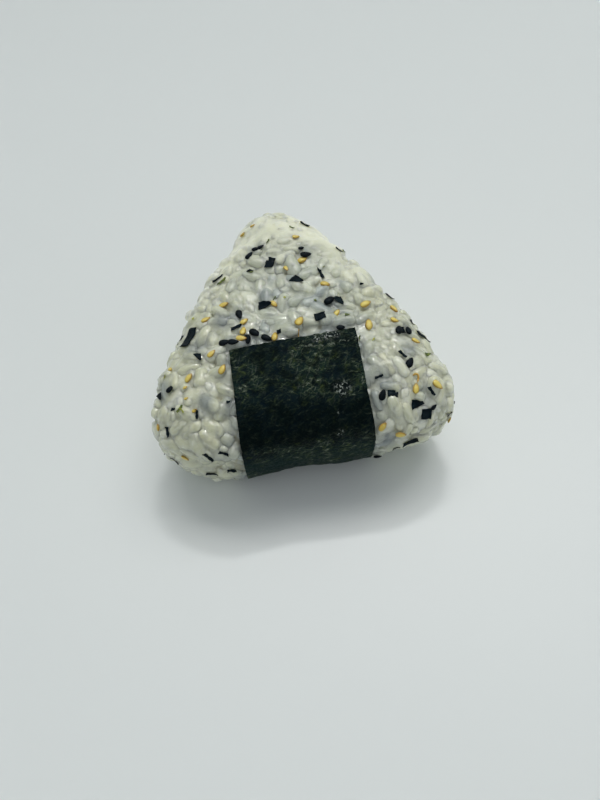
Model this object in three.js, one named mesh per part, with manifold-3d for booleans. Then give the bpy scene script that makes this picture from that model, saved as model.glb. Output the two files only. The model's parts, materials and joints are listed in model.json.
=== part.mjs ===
// Triangular rice ball (onigiri) lying on its back face, with a strip of seaweed folded round its base.
//
// Millimetres, +Z up. The origin is at the middle of the rice ball's box, on the surface that it lies on.
// +Y points to the tip of the triangle and -Y to its base side, where the seaweed passes.
//
// The body is a smooth cushion: a triangle with soft corners in plan, and a superellipse in section.
// Grains, seeds and flakes of low face count are fused to it, so that it is one solid with an uneven skin.
// The seaweed is a thin wavy leaf that lies over the face, down the base side and under the back.

import * as THREE from 'three';
import { mergeVertices } from 'three/addons/utils/BufferGeometryUtils.js';
import Module from 'manifold-3d';

const wasm = await Module();
wasm.setup();

// ---- Driving dimensions of the body ----

// Each side of the triangle: its distance from the body's middle, and the direction that it faces.
const SIDES = [
  { distance: 35.3, facing: -90 },
  { distance: 32.4, facing: 152 },
  { distance: 27.8, facing: 27 },
];
const CORNER_SHARPNESS = 2.6; // higher values make the three corners tighter
const BODY_HEIGHT = 37.8; // back to face at the middle, without the grains that stand out
const FACE_SLOPE = 0.0032; // the face rises this much, for each millimetre of height and of way to the tip
const WIDEST_HEIGHT = 22.6; // where the body is widest, above the back
const FACE_SECTION = { across: 3, up: 2.6 }; // superellipse exponents of the upper half
const BACK_SECTION = { across: 5, up: 2.1 }; // the lower half is flatter, with a tighter edge
const BACK_FLATTENING = 0.8; // what the weight of the rice presses flat at the back
const MIDDLE_X = 3.0; // the body's middle in the part's frame
const MIDDLE_Y = -7.4;

// Slow waves in the outline, as rice pressed by hand has them.
const OUTLINE_WAVES = [
  { height: 0.45, count: 5, phase: 0.8 },
  { height: 0.3, count: 9, phase: 2.1 },
];

// ---- Driving dimensions of what is fused to the body ----

const GRAIN = { length: 6.6, width: 3.4, thickness: 3.0, around: 6, along: 4 };
const SEED = { length: 3.2, width: 1.9, thickness: 1.2, around: 5, along: 3 };
const FLAKE = { length: 3.6, width: 2.6, thickness: 0.7 };
const GRAIN_STAND = 1.25; // how far a grain's back stands out of the body
const SEED_STAND = 0.75;
const FLAKE_STAND = 0.45;
const GRAIN_SPACING = 8.3; // least distance between two grains' middles
const TOPPING_SPACING = 11.4;
const GRAIN_TILT = 0.28; // radians, to either side
const FLATTENED_BACK = -0.95; // where a normal points down more than this, the grains are pressed flat
const SIZE_VARIATION = 0.14;
const SEED_SHARE = 0.55; // the share of the toppings that are seeds, and the rest are flakes

// ---- Driving dimensions of the seaweed ----

const STRIP = { width: 34.6, length: 88, thickness: 0.6 };
const STRIP_MIDDLE_X = 0.3; // the strip's middle line, at y = 0
const STRIP_SKEW = 0.033; // how far the middle line moves to +X for each millimetre to +Y
const STRIP_TOP_Y = -16.7; // where the strip ends on the face
const STRIP_LIFT_ON_FACE = 1.3; // the strip's outer face above the body, as it lies on the grains
const STRIP_LIFT_ON_SIDE = 0.3; // where it is pressed into the rice
const STRIP_FLOOR_GAP = 0.25; // under the back it stays clear of what the rice lies on
const STRIP_WAVES = [
  { height: 0.1, alongTurns: 7, acrossTurns: 2.5, phase: 0.4 },
  { height: 0.08, alongTurns: 12, acrossTurns: -4, phase: 1.9 },
];
const GAP = 0.5; // free space between the seaweed and the rice
const ROOM_DEPTH = 4; // how thick the room is that is cleared for the strip
const SLAB_WIDTH = 200; // of what is cut away below the surface that the rice ball lies on
const SLAB_DEPTH = 20;

// ---- How finely things are divided ----

const BODY_AROUND = 54;
const BODY_RINGS = 11; // for each half of the section
const STRIP_STEPS_ALONG = 42;
const STRIP_STEPS_ACROSS = 8;
const SECTION_SAMPLES = 70; // on each side of the rim
const HALVINGS = 50;
const SCATTER_TRIES = 9000;
const RANDOM_SEED = 20817;

// ---- Small helpers ----

function seededRandom(seed) {
  let state = seed;
  return () => {
    state = (state + 0x6d2b79f5) | 0;
    let mixed = Math.imul(state ^ (state >>> 15), 1 | state);
    mixed = (mixed + Math.imul(mixed ^ (mixed >>> 7), 61 | mixed)) ^ mixed;
    return ((mixed ^ (mixed >>> 14)) >>> 0) / 4294967296;
  };
}

function toSolid(geometry) {
  const bare = geometry.clone();
  bare.deleteAttribute('normal');
  bare.deleteAttribute('uv');
  const merged = mergeVertices(bare, 1e-5);
  return new wasm.Manifold(new wasm.Mesh({
    numProp: 3,
    vertProperties: Float32Array.from(merged.attributes.position.array),
    triVerts: Uint32Array.from(merged.index.array),
  }));
}

function toGeometry(solid) {
  const mesh = solid.getMesh();
  const geometry = new THREE.BufferGeometry();
  geometry.setAttribute('position', new THREE.BufferAttribute(mesh.vertProperties, 3));
  geometry.setIndex(new THREE.BufferAttribute(mesh.triVerts, 1));
  geometry.computeVertexNormals();
  return geometry;
}

function indexedGeometry(points, triangles) {
  const geometry = new THREE.BufferGeometry();
  geometry.setFromPoints(points);
  geometry.setIndex(triangles);
  return geometry;
}

// ---- The body's form ----

// Distance from the body's middle to its outline, in plan.
function outlineRadius(angle) {
  let sum = 0;
  for (const side of SIDES) {
    const reach = Math.cos(angle - THREE.MathUtils.degToRad(side.facing)) / side.distance;
    sum += Math.max(0, reach) ** CORNER_SHARPNESS;
  }
  let radius = sum ** (-1 / CORNER_SHARPNESS);
  for (const wave of OUTLINE_WAVES) {
    radius += wave.height * Math.sin(wave.count * angle + wave.phase);
  }
  return radius;
}

// A place in plan as a share of the way from the body's middle to its outline.
function outlineShare(x, y) {
  const across = x - MIDDLE_X;
  const along = y - MIDDLE_Y;
  return Math.min(1, Math.hypot(across, along) / outlineRadius(Math.atan2(along, across)));
}

// Height of the body's skin at such a share, on its face or on its back.
function skinHeight(share, y, isFace) {
  const section = isFace ? FACE_SECTION : BACK_SECTION;
  const rise = (1 - share ** section.across) ** (1 / section.up);
  const faceHeight = BODY_HEIGHT * (1 + FACE_SLOPE * (y - MIDDLE_Y));
  return isFace
    ? WIDEST_HEIGHT + (faceHeight - WIDEST_HEIGHT) * rise
    : Math.max(0, WIDEST_HEIGHT - (WIDEST_HEIGHT + BACK_FLATTENING) * rise);
}

// A point of the skin. The latitude runs from -PI/2 at the back to PI/2 at the face.
function bodyPoint(angle, latitude) {
  const isFace = latitude >= 0;
  const section = isFace ? FACE_SECTION : BACK_SECTION;
  const share = Math.cos(latitude) ** (2 / section.across);
  const radius = outlineRadius(angle) * share;
  const x = MIDDLE_X + radius * Math.cos(angle);
  const y = MIDDLE_Y + radius * Math.sin(angle);
  return new THREE.Vector3(x, y, skinHeight(share, y, isFace));
}

function latitudeOfRing(ring) {
  return (Math.PI / 2) * (ring / BODY_RINGS);
}

function bodyGeometry() {
  const points = [bodyPoint(0, -Math.PI / 2)];
  for (let ring = 1 - BODY_RINGS; ring < BODY_RINGS; ring += 1) {
    for (let step = 0; step < BODY_AROUND; step += 1) {
      points.push(bodyPoint((2 * Math.PI * step) / BODY_AROUND, latitudeOfRing(ring)));
    }
  }
  points.push(bodyPoint(0, Math.PI / 2));
  const triangles = [];
  const ringCount = 2 * BODY_RINGS - 1;
  const vertex = (ring, step) => 1 + ring * BODY_AROUND + (step % BODY_AROUND);
  for (let step = 0; step < BODY_AROUND; step += 1) {
    triangles.push(0, vertex(0, step + 1), vertex(0, step));
    for (let ring = 0; ring < ringCount - 1; ring += 1) {
      triangles.push(vertex(ring, step), vertex(ring, step + 1), vertex(ring + 1, step + 1));
      triangles.push(vertex(ring, step), vertex(ring + 1, step + 1), vertex(ring + 1, step));
    }
    triangles.push(vertex(ringCount - 1, step), vertex(ringCount - 1, step + 1), points.length - 1);
  }
  return indexedGeometry(points, triangles);
}

// ---- The seaweed strip ----

// How far a point lies to the side of the strip's middle line.
function besideMiddleLine({ x, y }) {
  return x - STRIP_MIDDLE_X - STRIP_SKEW * y;
}

// The line along which the body is cut by an upright plane at a given distance beside the middle line.
// It runs from the strip's end on the face over the base side to far under the back.
function sectionLine(beside) {
  const xAt = (y) => STRIP_MIDDLE_X + STRIP_SKEW * y + beside;
  const rimY = rimOnLine(xAt);
  const points = [];
  for (let sample = -SECTION_SAMPLES; sample <= SECTION_SAMPLES; sample += 1) {
    const isFace = sample < 0;
    const farY = isFace ? STRIP_TOP_Y + 2 * GAP : -STRIP_TOP_Y;
    const y = rimY + (farY - rimY) * Math.abs(sample / SECTION_SAMPLES) ** 3;
    const x = xAt(y);
    points.push(new THREE.Vector3(x, y, skinHeight(outlineShare(x, y), y, isFace)));
  }
  return new THREE.CatmullRomCurve3(points, false, 'chordal');
}

// Where a line in plan leaves the body on its base side, found by halving.
function rimOnLine(xAt) {
  let inside = STRIP_TOP_Y;
  let outside = MIDDLE_Y - 2 * SIDES[0].distance;
  for (let halving = 0; halving < HALVINGS; halving += 1) {
    const middle = (inside + outside) / 2;
    if (outlineShare(xAt(middle), middle) < 1) {
      inside = middle;
    } else {
      outside = middle;
    }
  }
  return inside;
}

function stripWave(along, across) {
  let height = 0;
  for (const wave of STRIP_WAVES) {
    const turns = wave.alongTurns * along + wave.acrossTurns * across;
    height += wave.height * Math.sin(2 * Math.PI * turns + wave.phase);
  }
  return height;
}

// A closed sheet over the body. Its two faces lie at given offsets from where the strip's outer face is.
// The strip and the room that is cleared for it in the rice are both made by this.
function stripGeometry(layer) {
  const columns = [];
  for (let across = 0; across <= STRIP_STEPS_ACROSS; across += 1) {
    const share = across / STRIP_STEPS_ACROSS;
    const line = sectionLine((share - 0.5) * (STRIP.width + 2 * layer.margin));
    columns.push(stripColumn(line, share, layer));
  }
  return sheetGeometry(columns);
}

function stripColumn(line, share, { margin, outerOffset, innerOffset, waveShare, lowest }) {
  const total = line.getLength();
  const start = distanceToY(line, total, STRIP_TOP_Y + margin);
  const length = STRIP.length + 2 * margin;
  const column = [];
  for (let step = 0; step <= STRIP_STEPS_ALONG; step += 1) {
    const along = step / STRIP_STEPS_ALONG;
    const place = Math.min((start + along * length) / total, 1);
    const tangent = line.getTangentAt(place);
    const outward = new THREE.Vector3(0, tangent.z, -tangent.y);
    const lift = stripLift(outward) + outerOffset + waveShare * stripWave(along, share);
    const outer = line.getPointAt(place).addScaledVector(outward, lift);
    outer.z = Math.max(outer.z, lowest);
    const inner = outer.clone().addScaledVector(outward, innerOffset - outerOffset);
    column.push({ outer, inner });
  }
  return column;
}

function stripLift(outward) {
  return THREE.MathUtils.lerp(STRIP_LIFT_ON_SIDE, STRIP_LIFT_ON_FACE, Math.max(0, outward.z));
}

// How far along a section line its face stretch comes down to a given y.
function distanceToY(line, total, y) {
  const step = 0.002;
  let place = 0;
  while (place < 1 && line.getPointAt(place).y > y) {
    place += step;
  }
  return place * total;
}

// A closed leaf from columns of outer and inner points, with both faces split into triangles alike.
function sheetGeometry(columns) {
  const rows = columns[0].length;
  const points = [];
  for (const column of columns) {
    for (const { outer, inner } of column) {
      points.push(outer, inner);
    }
  }
  const outer = (column, row) => 2 * (column * rows + row);
  const inner = (column, row) => outer(column, row) + 1;
  const triangles = [];
  const quad = (a, b, c, d) => triangles.push(a, b, c, a, c, d);
  const last = columns.length - 1;
  for (let column = 0; column < last; column += 1) {
    for (let row = 0; row < rows - 1; row += 1) {
      quad(outer(column, row), outer(column, row + 1), outer(column + 1, row + 1), outer(column + 1, row));
      triangles.push(inner(column, row), inner(column + 1, row + 1), inner(column, row + 1));
      triangles.push(inner(column, row), inner(column + 1, row), inner(column + 1, row + 1));
    }
    quad(inner(column, 0), outer(column, 0), outer(column + 1, 0), inner(column + 1, 0));
    const end = rows - 1;
    quad(outer(column, end), inner(column, end), inner(column + 1, end), outer(column + 1, end));
  }
  for (let row = 0; row < rows - 1; row += 1) {
    quad(outer(0, row), inner(0, row), inner(0, row + 1), outer(0, row + 1));
    quad(inner(last, row), outer(last, row), outer(last, row + 1), inner(last, row + 1));
  }
  return indexedGeometry(points, triangles);
}

// ---- Grains, seeds and flakes ----

// Points spread evenly over the skin: random ones, each kept only where it has enough room.
function scatterOnSkin(geometry, spacing, random) {
  const sampler = skinSampler(geometry, random);
  const kept = [];
  for (let attempt = 0; attempt < SCATTER_TRIES; attempt += 1) {
    const candidate = sampler();
    if (kept.every((other) => other.point.distanceTo(candidate.point) >= spacing)) {
      kept.push(candidate);
    }
  }
  return kept;
}

// Gives random points of a surface, as likely in one part of its area as in another.
function skinSampler(geometry, random) {
  const position = geometry.attributes.position;
  const index = geometry.index;
  const faces = [];
  let area = 0;
  for (let start = 0; start < index.count; start += 3) {
    const corner = (offset) => new THREE.Vector3().fromBufferAttribute(position, index.getX(start + offset));
    const triangle = new THREE.Triangle(corner(0), corner(1), corner(2));
    area += triangle.getArea();
    faces.push({ triangle, upTo: area });
  }
  return () => {
    const wanted = random() * area;
    const { triangle } = faces.find((face) => face.upTo >= wanted);
    const first = Math.sqrt(random());
    const second = random();
    const point = new THREE.Vector3()
      .addScaledVector(triangle.a, 1 - first)
      .addScaledVector(triangle.b, first * (1 - second))
      .addScaledVector(triangle.c, first * second);
    return { point, normal: triangle.getNormal(new THREE.Vector3()) };
  };
}

// True where a piece of this reach would come near the seaweed.
function isNearStrip(point, reach) {
  const isBeside = Math.abs(besideMiddleLine(point)) < STRIP.width / 2 + reach + GAP;
  return isBeside && point.y < STRIP_TOP_Y + reach + GAP;
}

function placeOnSkin(geometry, { point, normal }, depth, random) {
  const turn = new THREE.Quaternion().setFromUnitVectors(new THREE.Vector3(0, 0, 1), normal);
  const spin = new THREE.Quaternion().setFromAxisAngle(new THREE.Vector3(0, 0, 1), random() * Math.PI * 2);
  const lean = (random() * 2 - 1) * GRAIN_TILT;
  const tilt = new THREE.Quaternion().setFromAxisAngle(new THREE.Vector3(0, 1, 0), lean);
  const place = point.clone().addScaledVector(normal, depth);
  const size = 1 + (random() * 2 - 1) * SIZE_VARIATION;
  const scale = new THREE.Vector3(size, size, size);
  const matrix = new THREE.Matrix4().compose(place, turn.multiply(spin).multiply(tilt), scale);
  return toSolid(geometry.clone().applyMatrix4(matrix));
}

// A low ellipsoid with its poles at its two tips, which lie along X.
function seedShape({ length, width, thickness, around, along }) {
  const geometry = new THREE.SphereGeometry(0.5, around, along);
  geometry.rotateZ(Math.PI / 2);
  geometry.scale(length, width, thickness);
  return geometry;
}

function grainSolids(skin, random) {
  const shape = seedShape(GRAIN);
  const depth = GRAIN_STAND - GRAIN.thickness / 2;
  return scatterOnSkin(skin, GRAIN_SPACING, random)
    .filter(({ point, normal }) => normal.z > FLATTENED_BACK && !isNearStrip(point, GRAIN.length / 2))
    .map((spot) => placeOnSkin(shape, spot, depth, random));
}

function toppingSolids(skin, random) {
  const seed = seedShape(SEED);
  const flake = new THREE.BoxGeometry(FLAKE.length, FLAKE.width, FLAKE.thickness);
  return scatterOnSkin(skin, TOPPING_SPACING, random)
    .filter(({ point }) => point.z > GRAIN.thickness && !isNearStrip(point, SEED.length / 2))
    .map((spot) => (random() < SEED_SHARE
      ? placeOnSkin(seed, spot, SEED_STAND - SEED.thickness / 2, random)
      : placeOnSkin(flake, spot, FLAKE_STAND - FLAKE.thickness / 2, random)));
}

// ---- The two sub-parts ----

function largestPiece(solid) {
  const pieces = solid.decompose();
  return pieces.reduce((best, piece) => (piece.volume() > best.volume() ? piece : best));
}

function belowTheSurface() {
  const slab = new THREE.BoxGeometry(SLAB_WIDTH, SLAB_WIDTH, SLAB_DEPTH);
  slab.translate(0, 0, -SLAB_DEPTH / 2);
  return toSolid(slab);
}

function riceBall() {
  const random = seededRandom(RANDOM_SEED);
  const skin = bodyGeometry();
  const fused = wasm.Manifold.union([
    toSolid(skin),
    ...grainSolids(skin, random),
    ...toppingSolids(skin, random),
  ]);
  const roomInside = -STRIP.thickness - GAP;
  const roomForStrip = stripGeometry({
    margin: GAP,
    outerOffset: roomInside + ROOM_DEPTH,
    innerOffset: roomInside,
    waveShare: 0,
    lowest: STRIP_FLOOR_GAP - roomInside - ROOM_DEPTH,
  });
  const cut = fused.subtract(toSolid(roomForStrip)).subtract(belowTheSurface());
  return toGeometry(largestPiece(cut));
}

function noriStrip() {
  return stripGeometry({
    margin: 0,
    outerOffset: 0,
    innerOffset: -STRIP.thickness,
    waveShare: 1,
    lowest: STRIP_FLOOR_GAP,
  });
}

function subPart(name, geometry, { color, roughness }) {
  const mesh = new THREE.Mesh(geometry, new THREE.MeshStandardMaterial({ color, roughness, metalness: 0 }));
  mesh.name = name;
  return mesh;
}

const onigiri = new THREE.Group();
onigiri.add(subPart('rice_ball', riceBall(), { color: 0xd9dccb, roughness: 0.35 }));
onigiri.add(subPart('nori_strip', noriStrip(), { color: 0x1c2a26, roughness: 0.45 }));

export default onigiri;
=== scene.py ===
"""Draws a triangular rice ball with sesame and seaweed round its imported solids."""

import json
import math
from functools import lru_cache

import bmesh
import bpy
import numpy as np
from bpy.props import FloatProperty, FloatVectorProperty, IntProperty, PointerProperty
from bpy.types import Operator, Panel, PropertyGroup
from mathutils import Matrix, Vector, kdtree, noise
from mathutils.bvhtree import BVHTree

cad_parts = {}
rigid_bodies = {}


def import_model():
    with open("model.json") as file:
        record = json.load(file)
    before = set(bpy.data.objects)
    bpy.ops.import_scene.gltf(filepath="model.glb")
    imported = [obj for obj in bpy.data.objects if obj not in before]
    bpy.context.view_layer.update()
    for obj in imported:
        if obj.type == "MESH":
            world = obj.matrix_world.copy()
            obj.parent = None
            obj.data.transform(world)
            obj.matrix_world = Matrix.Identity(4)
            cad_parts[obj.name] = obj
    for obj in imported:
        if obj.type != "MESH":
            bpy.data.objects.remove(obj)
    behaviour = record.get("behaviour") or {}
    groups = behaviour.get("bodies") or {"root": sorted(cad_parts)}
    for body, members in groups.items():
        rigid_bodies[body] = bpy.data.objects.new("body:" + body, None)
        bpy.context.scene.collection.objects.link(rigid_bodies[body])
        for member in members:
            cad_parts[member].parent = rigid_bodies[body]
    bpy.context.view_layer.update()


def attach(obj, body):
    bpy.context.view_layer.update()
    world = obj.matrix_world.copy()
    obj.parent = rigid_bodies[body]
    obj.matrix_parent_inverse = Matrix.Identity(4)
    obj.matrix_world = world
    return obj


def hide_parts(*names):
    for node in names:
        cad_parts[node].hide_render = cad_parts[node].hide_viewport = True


bl_info = {
    "name": "Rice Ball Maker",
    "version": (1, 0, 0),
    "blender": (4, 5, 0),
    "location": "3D View > Sidebar > Rice Ball",
    "description": "Makes a triangular rice ball with sesame, seaweed flakes and a seaweed strip",
    "category": "Add Mesh",
}

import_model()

BODY = "root"
RICE_NODE = "rice_ball"
STRIP_NODE = "nori_strip"
MM = 0.001

# ---- The body's form, in millimetres: a triangle with soft corners in plan ----

# Each side's distance from the body's middle, and the direction that it faces, in degrees.
SIDES = ((35.3, -90.0), (32.4, 152.0), (27.8, 27.0))
CORNER_SHARPNESS = 2.6
BODY_HEIGHT = 37.8
FACE_SLOPE = 0.0032
WIDEST_HEIGHT = 22.6
FACE_SECTION = (3.0, 2.6)  # superellipse exponents, across and up
BACK_SECTION = (5.0, 2.1)
BACK_FLATTENING = 0.8
MIDDLE = (3.0, -7.4)
OUTLINE_WAVES = ((0.45, 5, 0.8), (0.3, 9, 2.1))  # height, count, phase

# ---- The strip's place on the body, in millimetres ----

STRIP_MIDDLE_X = 0.3
STRIP_SKEW = 0.033
STRIP_TOP_Y = -16.7
STRIP_SLANT = 0.03  # rise of its upper end from left to right
STRIP_FLARE = 0.9  # how far its right edge stands out where it bends down
STRIP_LIFT_ON_FACE = 1.3
STRIP_LIFT_ON_SIDE = 0.3
STRIP_FLOOR_GAP = 0.25
STRIP_CLEARANCE = 0.12
SHADE_REACH = 2.8  # how far the painted shade round the black seeds reaches
BACK_GAP = 0.9  # height of the starch over the table, under which only grains reach

# ---- Starting numbers of the random draws ----

PACK_SEED = 20817
GRAIN_SEED = 77
TOPPING_SEED = 417

# ---- The rice's own unevenness, in millimetres ----

SWELL_WIDTH = 12.0
SWELL_SHIFT = (7.0, 2.0, 4.0)
SWELL_GAIN = 1.6
# Hollows of the face: a column and a row of the camera's view, which is 600 by 800 pixels, a radius and a
# depth. A swelling has a depth below zero.
HOLLOWS = (
    (258.0, 304.0, 3.2, 1.0),
    (283.0, 306.0, 2.6, 0.8),
    (331.0, 308.0, 3.0, 0.9),
    (249.0, 336.0, 2.6, 0.8),
    (242.0, 239.0, 6.2, 3.6),
    (226.0, 441.0, 2.2, 1.3),
    (190.0, 455.0, 2.4, 1.1),
    (172.0, 448.0, 7.0, 2.6),
    (408.0, 396.0, 2.6, 0.9),
    (352.0, 274.0, 6.0, -1.1),
    (412.0, 341.0, 5.0, 0.6),
    (368.0, 360.0, 3.2, -0.5),
    (212.0, 425.0, 3.8, -0.6),
    (363.0, 285.0, 5.0, -1.5),
    (334.0, 249.0, 7.0, -0.4),
    (340.0, 251.0, 6.0, -1.3),
    (208.0, 474.0, 7.0, 2.4),
    (180.0, 466.0, 5.0, 1.4),
    (228.0, 474.0, 7.0, 2.8),
    (238.0, 480.0, 5.0, 1.6),
    (402.0, 456.0, 7.0, 1.6),
    (455.0, 385.0, 7.0, 0.8),
    (434.0, 344.0, 6.0, 1.7),
    (217.0, 273.0, 5.0, -1.2),
    (156.0, 417.0, 4.5, 0.9),
)


def outline_radius(angle):
    """Distance from the body's middle to its outline in plan, for an array of angles."""
    total = 0.0
    for distance, facing in SIDES:
        total = total + np.maximum(0.0, np.cos(angle - math.radians(facing)) / distance) ** CORNER_SHARPNESS
    radius = total ** (-1.0 / CORNER_SHARPNESS)
    for height, count, phase in OUTLINE_WAVES:
        radius = radius + height * np.sin(count * angle + phase)
    return radius


def outline_share(x, y):
    """A place in plan as a share of the way from the body's middle to its outline."""
    across = x - MIDDLE[0]
    along = y - MIDDLE[1]
    return np.minimum(1.0, np.hypot(across, along) / outline_radius(np.arctan2(along, across)))


def skin_height(share, y, is_face):
    """Height of the body's skin at such a share, on its face or on its back."""
    across, up = FACE_SECTION if is_face else BACK_SECTION
    rise = np.maximum(0.0, 1.0 - share**across) ** (1.0 / up)
    if is_face:
        top = BODY_HEIGHT * (1.0 + FACE_SLOPE * (y - MIDDLE[1]))
        return WIDEST_HEIGHT + (top - WIDEST_HEIGHT) * rise
    return np.maximum(0.0, WIDEST_HEIGHT - (WIDEST_HEIGHT + BACK_FLATTENING) * rise)


def body_rings(around, rings, crowding=2.4):
    """The body's skin as points, pole to pole, and the faces between them. Rings crowd at the outline."""
    angles = np.linspace(0.0, 2.0 * math.pi, around, endpoint=False)
    steps = np.arange(1, rings) / rings
    shares = 1.0 - (1.0 - steps) ** crowding
    layers = [(share, False) for share in shares] + [(1.0, True)] + [(share, True) for share in shares[::-1]]
    radius = outline_radius(angles)
    points = [(MIDDLE[0], MIDDLE[1], 0.0)]
    for share, is_face in layers:
        x = MIDDLE[0] + radius * share * np.cos(angles)
        y = MIDDLE[1] + radius * share * np.sin(angles)
        z = skin_height(np.full(around, share), y, is_face)
        points.extend(zip(x, y, z))
    points.append((MIDDLE[0], MIDDLE[1], BODY_HEIGHT))
    return points, ring_faces(around, len(layers))


def ring_faces(around, layer_count):
    """Faces between layers of points, with a fan round the pole at each end."""
    last = 1 + around * layer_count
    faces = []
    for step in range(around):
        after = (step + 1) % around
        faces.append((0, 1 + after, 1 + step))
        for layer in range(layer_count - 1):
            low = 1 + layer * around
            high = low + around
            faces.append((low + step, low + after, high + after, high + step))
        top = last - around
        faces.append((top + step, top + after, last))
    return faces


def beside_strip_line(x, y):
    """How far a place lies to the side of the strip's middle line."""
    return x - STRIP_MIDDLE_X - STRIP_SKEW * y


def smooth_step(low, high, value):
    """0 below low, 1 above high, and smooth between them."""
    share = np.clip((value - low) / (high - low), 0.0, 1.0)
    return share * share * (3.0 - 2.0 * share)


def unit_rows(vectors):
    """The same vectors, each one unit long."""
    return vectors / np.linalg.norm(vectors, axis=1)[:, None]


def point_tree(points):
    """The points sorted, to find the nearest one quickly."""
    tree = kdtree.KDTree(len(points))
    for index, point in enumerate(points):
        tree.insert(point, index)
    tree.balance()
    return tree


def soft_noise(points, frequency, shift):
    """Soft noise at each point, from about -1 to 1."""
    return np.array([noise.noise(Vector(point) * frequency + Vector(shift)) for point in points])


class Skin:
    """The body's smooth skin, which says how high over it a point is."""

    def __init__(self, around=180, rings=46):
        points, faces = body_rings(around, rings)
        shape = bmesh.new()
        vertices = [shape.verts.new(point) for point in points]
        for face in faces:
            shape.faces.new([vertices[index] for index in face])
        shape.normal_update()
        self.points = np.array([vertex.co for vertex in shape.verts])
        self.normals = np.array([vertex.normal for vertex in shape.verts])
        self.areas = np.array([face.calc_area() for face in shape.faces])
        self.middles = np.array([face.calc_center_median() for face in shape.faces])
        self.face_normals = np.array([face.normal for face in shape.faces])
        shape.free()
        self.face_tree = BVHTree.FromPolygons(points, faces)
        self.tree = point_tree(self.points)

    def swell(self, view, height):
        """Lifts and sinks the skin broadly: by soft noise, and at the places that are listed."""
        middle_rise = self.swelling(view, height, self.middles)
        self.middles = self.middles + self.face_normals * middle_rise[:, None]
        point_rise = self.swelling(view, height, self.points)
        self.points = self.points + self.normals * point_rise[:, None]
        self.tree = point_tree(self.points)

    def swelling(self, view, height, points):
        """How far the skin rises at each point. It stays as it is under the strip and near the table."""
        shift = Vector(SWELL_SHIFT)
        total = np.array([noise.noise(Vector(point) / SWELL_WIDTH + shift) for point in points])
        total *= height * SWELL_GAIN
        for column, row, radius, depth in HOLLOWS:
            total -= depth * np.exp(-((self.apart(view, column, row, points) / radius) ** 2))
        return total * (1.0 - strip_cover(points, edge=3.0)) * smooth_step(0.5, 3.0, points[:, 2])

    def apart(self, view, column, row, points):
        """How far points are from the place on the bare skin that a pixel shows."""
        return np.linalg.norm(points - self.seen_place(view, column, row), axis=1)

    def seen_place(self, view, column, row):
        """Where a pixel's ray meets the bare skin. One that misses moves towards the body's middle."""
        for _ in range(12):
            place = self.face_tree.ray_cast(view.origin / MM, view.direction(column, row))[0]
            if place is not None:
                return np.array(place)
            column, row = view.nearer_middle(column, row)
        raise ValueError("A hollow's place misses the rice")

    def heights(self, places):
        """How high each place is over the skin, and the skin's normal there."""
        nearest = np.array([self.tree.find(place)[1] for place in places])
        normals = self.normals[nearest]
        return np.einsum("ij,ij->i", places - self.points[nearest], normals), normals

    def scatter(self, count, random):
        """Random places on the skin, as likely in one part of its area as in another."""
        chosen = random.choice(len(self.areas), size=count, p=self.areas / self.areas.sum())
        return self.middles[chosen] + random.normal(0.0, 0.25, (count, 3)), self.face_normals[chosen]


# ---- Settings ----


def size_property(name, description, default):
    """A length in metres that the panel shows."""
    return FloatProperty(name=name, description=description, default=default, unit="LENGTH")


class BodySettings(PropertyGroup):
    """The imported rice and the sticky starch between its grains."""

    fineness: size_property("Fineness", "Width of the mesh's squares", 0.00056)
    sink: size_property("Sink", "Depth of the starch under the tops of the grains", 0.00034)
    fillet: size_property("Fillet", "How widely the starch fills the grooves between grains", 0.00030)
    gap_depth: size_property("Gap Depth", "Deepest gap between grains under the skin", 0.0013)


class GrainSettings(PropertyGroup):
    """The cooked grains on the outside."""

    count: IntProperty(name="Grains", description="How many grains lie on the outside", default=1080, min=10)
    length: size_property("Length", "Length of a grain", 0.0074)
    width: size_property("Width", "Width of a grain", 0.0039)
    thickness: size_property("Thickness", "Thickness of a grain", 0.0035)
    stand: size_property("Stand", "How far the grains stand out of the skin", 0.00125)
    swell: size_property("Swell", "Height of the broad swellings and hollows", 0.0006)
    closeness: FloatProperty(
        name="Closeness", description="Least distance of two grains as a share of their width", default=0.8,
        min=0.2, max=1.0,
    )
    rounds: IntProperty(name="Rounds", description="How often the grains are pushed apart", default=70, min=1)
    loose_share: FloatProperty(
        name="Loose Share", description="Share of the grains that lie across the others", default=0.2,
        min=0.0, max=1.0,
    )
    loose_height: size_property("Loose Height", "How far such grains are lifted", 0.0008)
    unevenness: size_property("Unevenness", "How far each grain's surface is dented", 0.00022)


class StripSettings(PropertyGroup):
    """The seaweed strip."""

    width: size_property("Width", "Width of the strip", 0.0346)
    length: size_property("Length", "Length of the strip", 0.088)
    thickness: size_property("Thickness", "Thickness of the sheet", 0.0003)
    wave: size_property("Wave", "How far the sheet follows the grains under it", 0.0002)


class ToppingSettings(PropertyGroup):
    """Seeds and flakes mixed into the rice."""

    seed_length: size_property("Seed Length", "Length of a seed", 0.0031)
    seed_width: size_property("Seed Width", "Width of a seed", 0.0019)
    flake_size: size_property("Flake Size", "Longer side of a seaweed flake", 0.0034)
    bit_size: size_property("Green Bit Size", "Longer side of a green bit", 0.0015)


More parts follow.
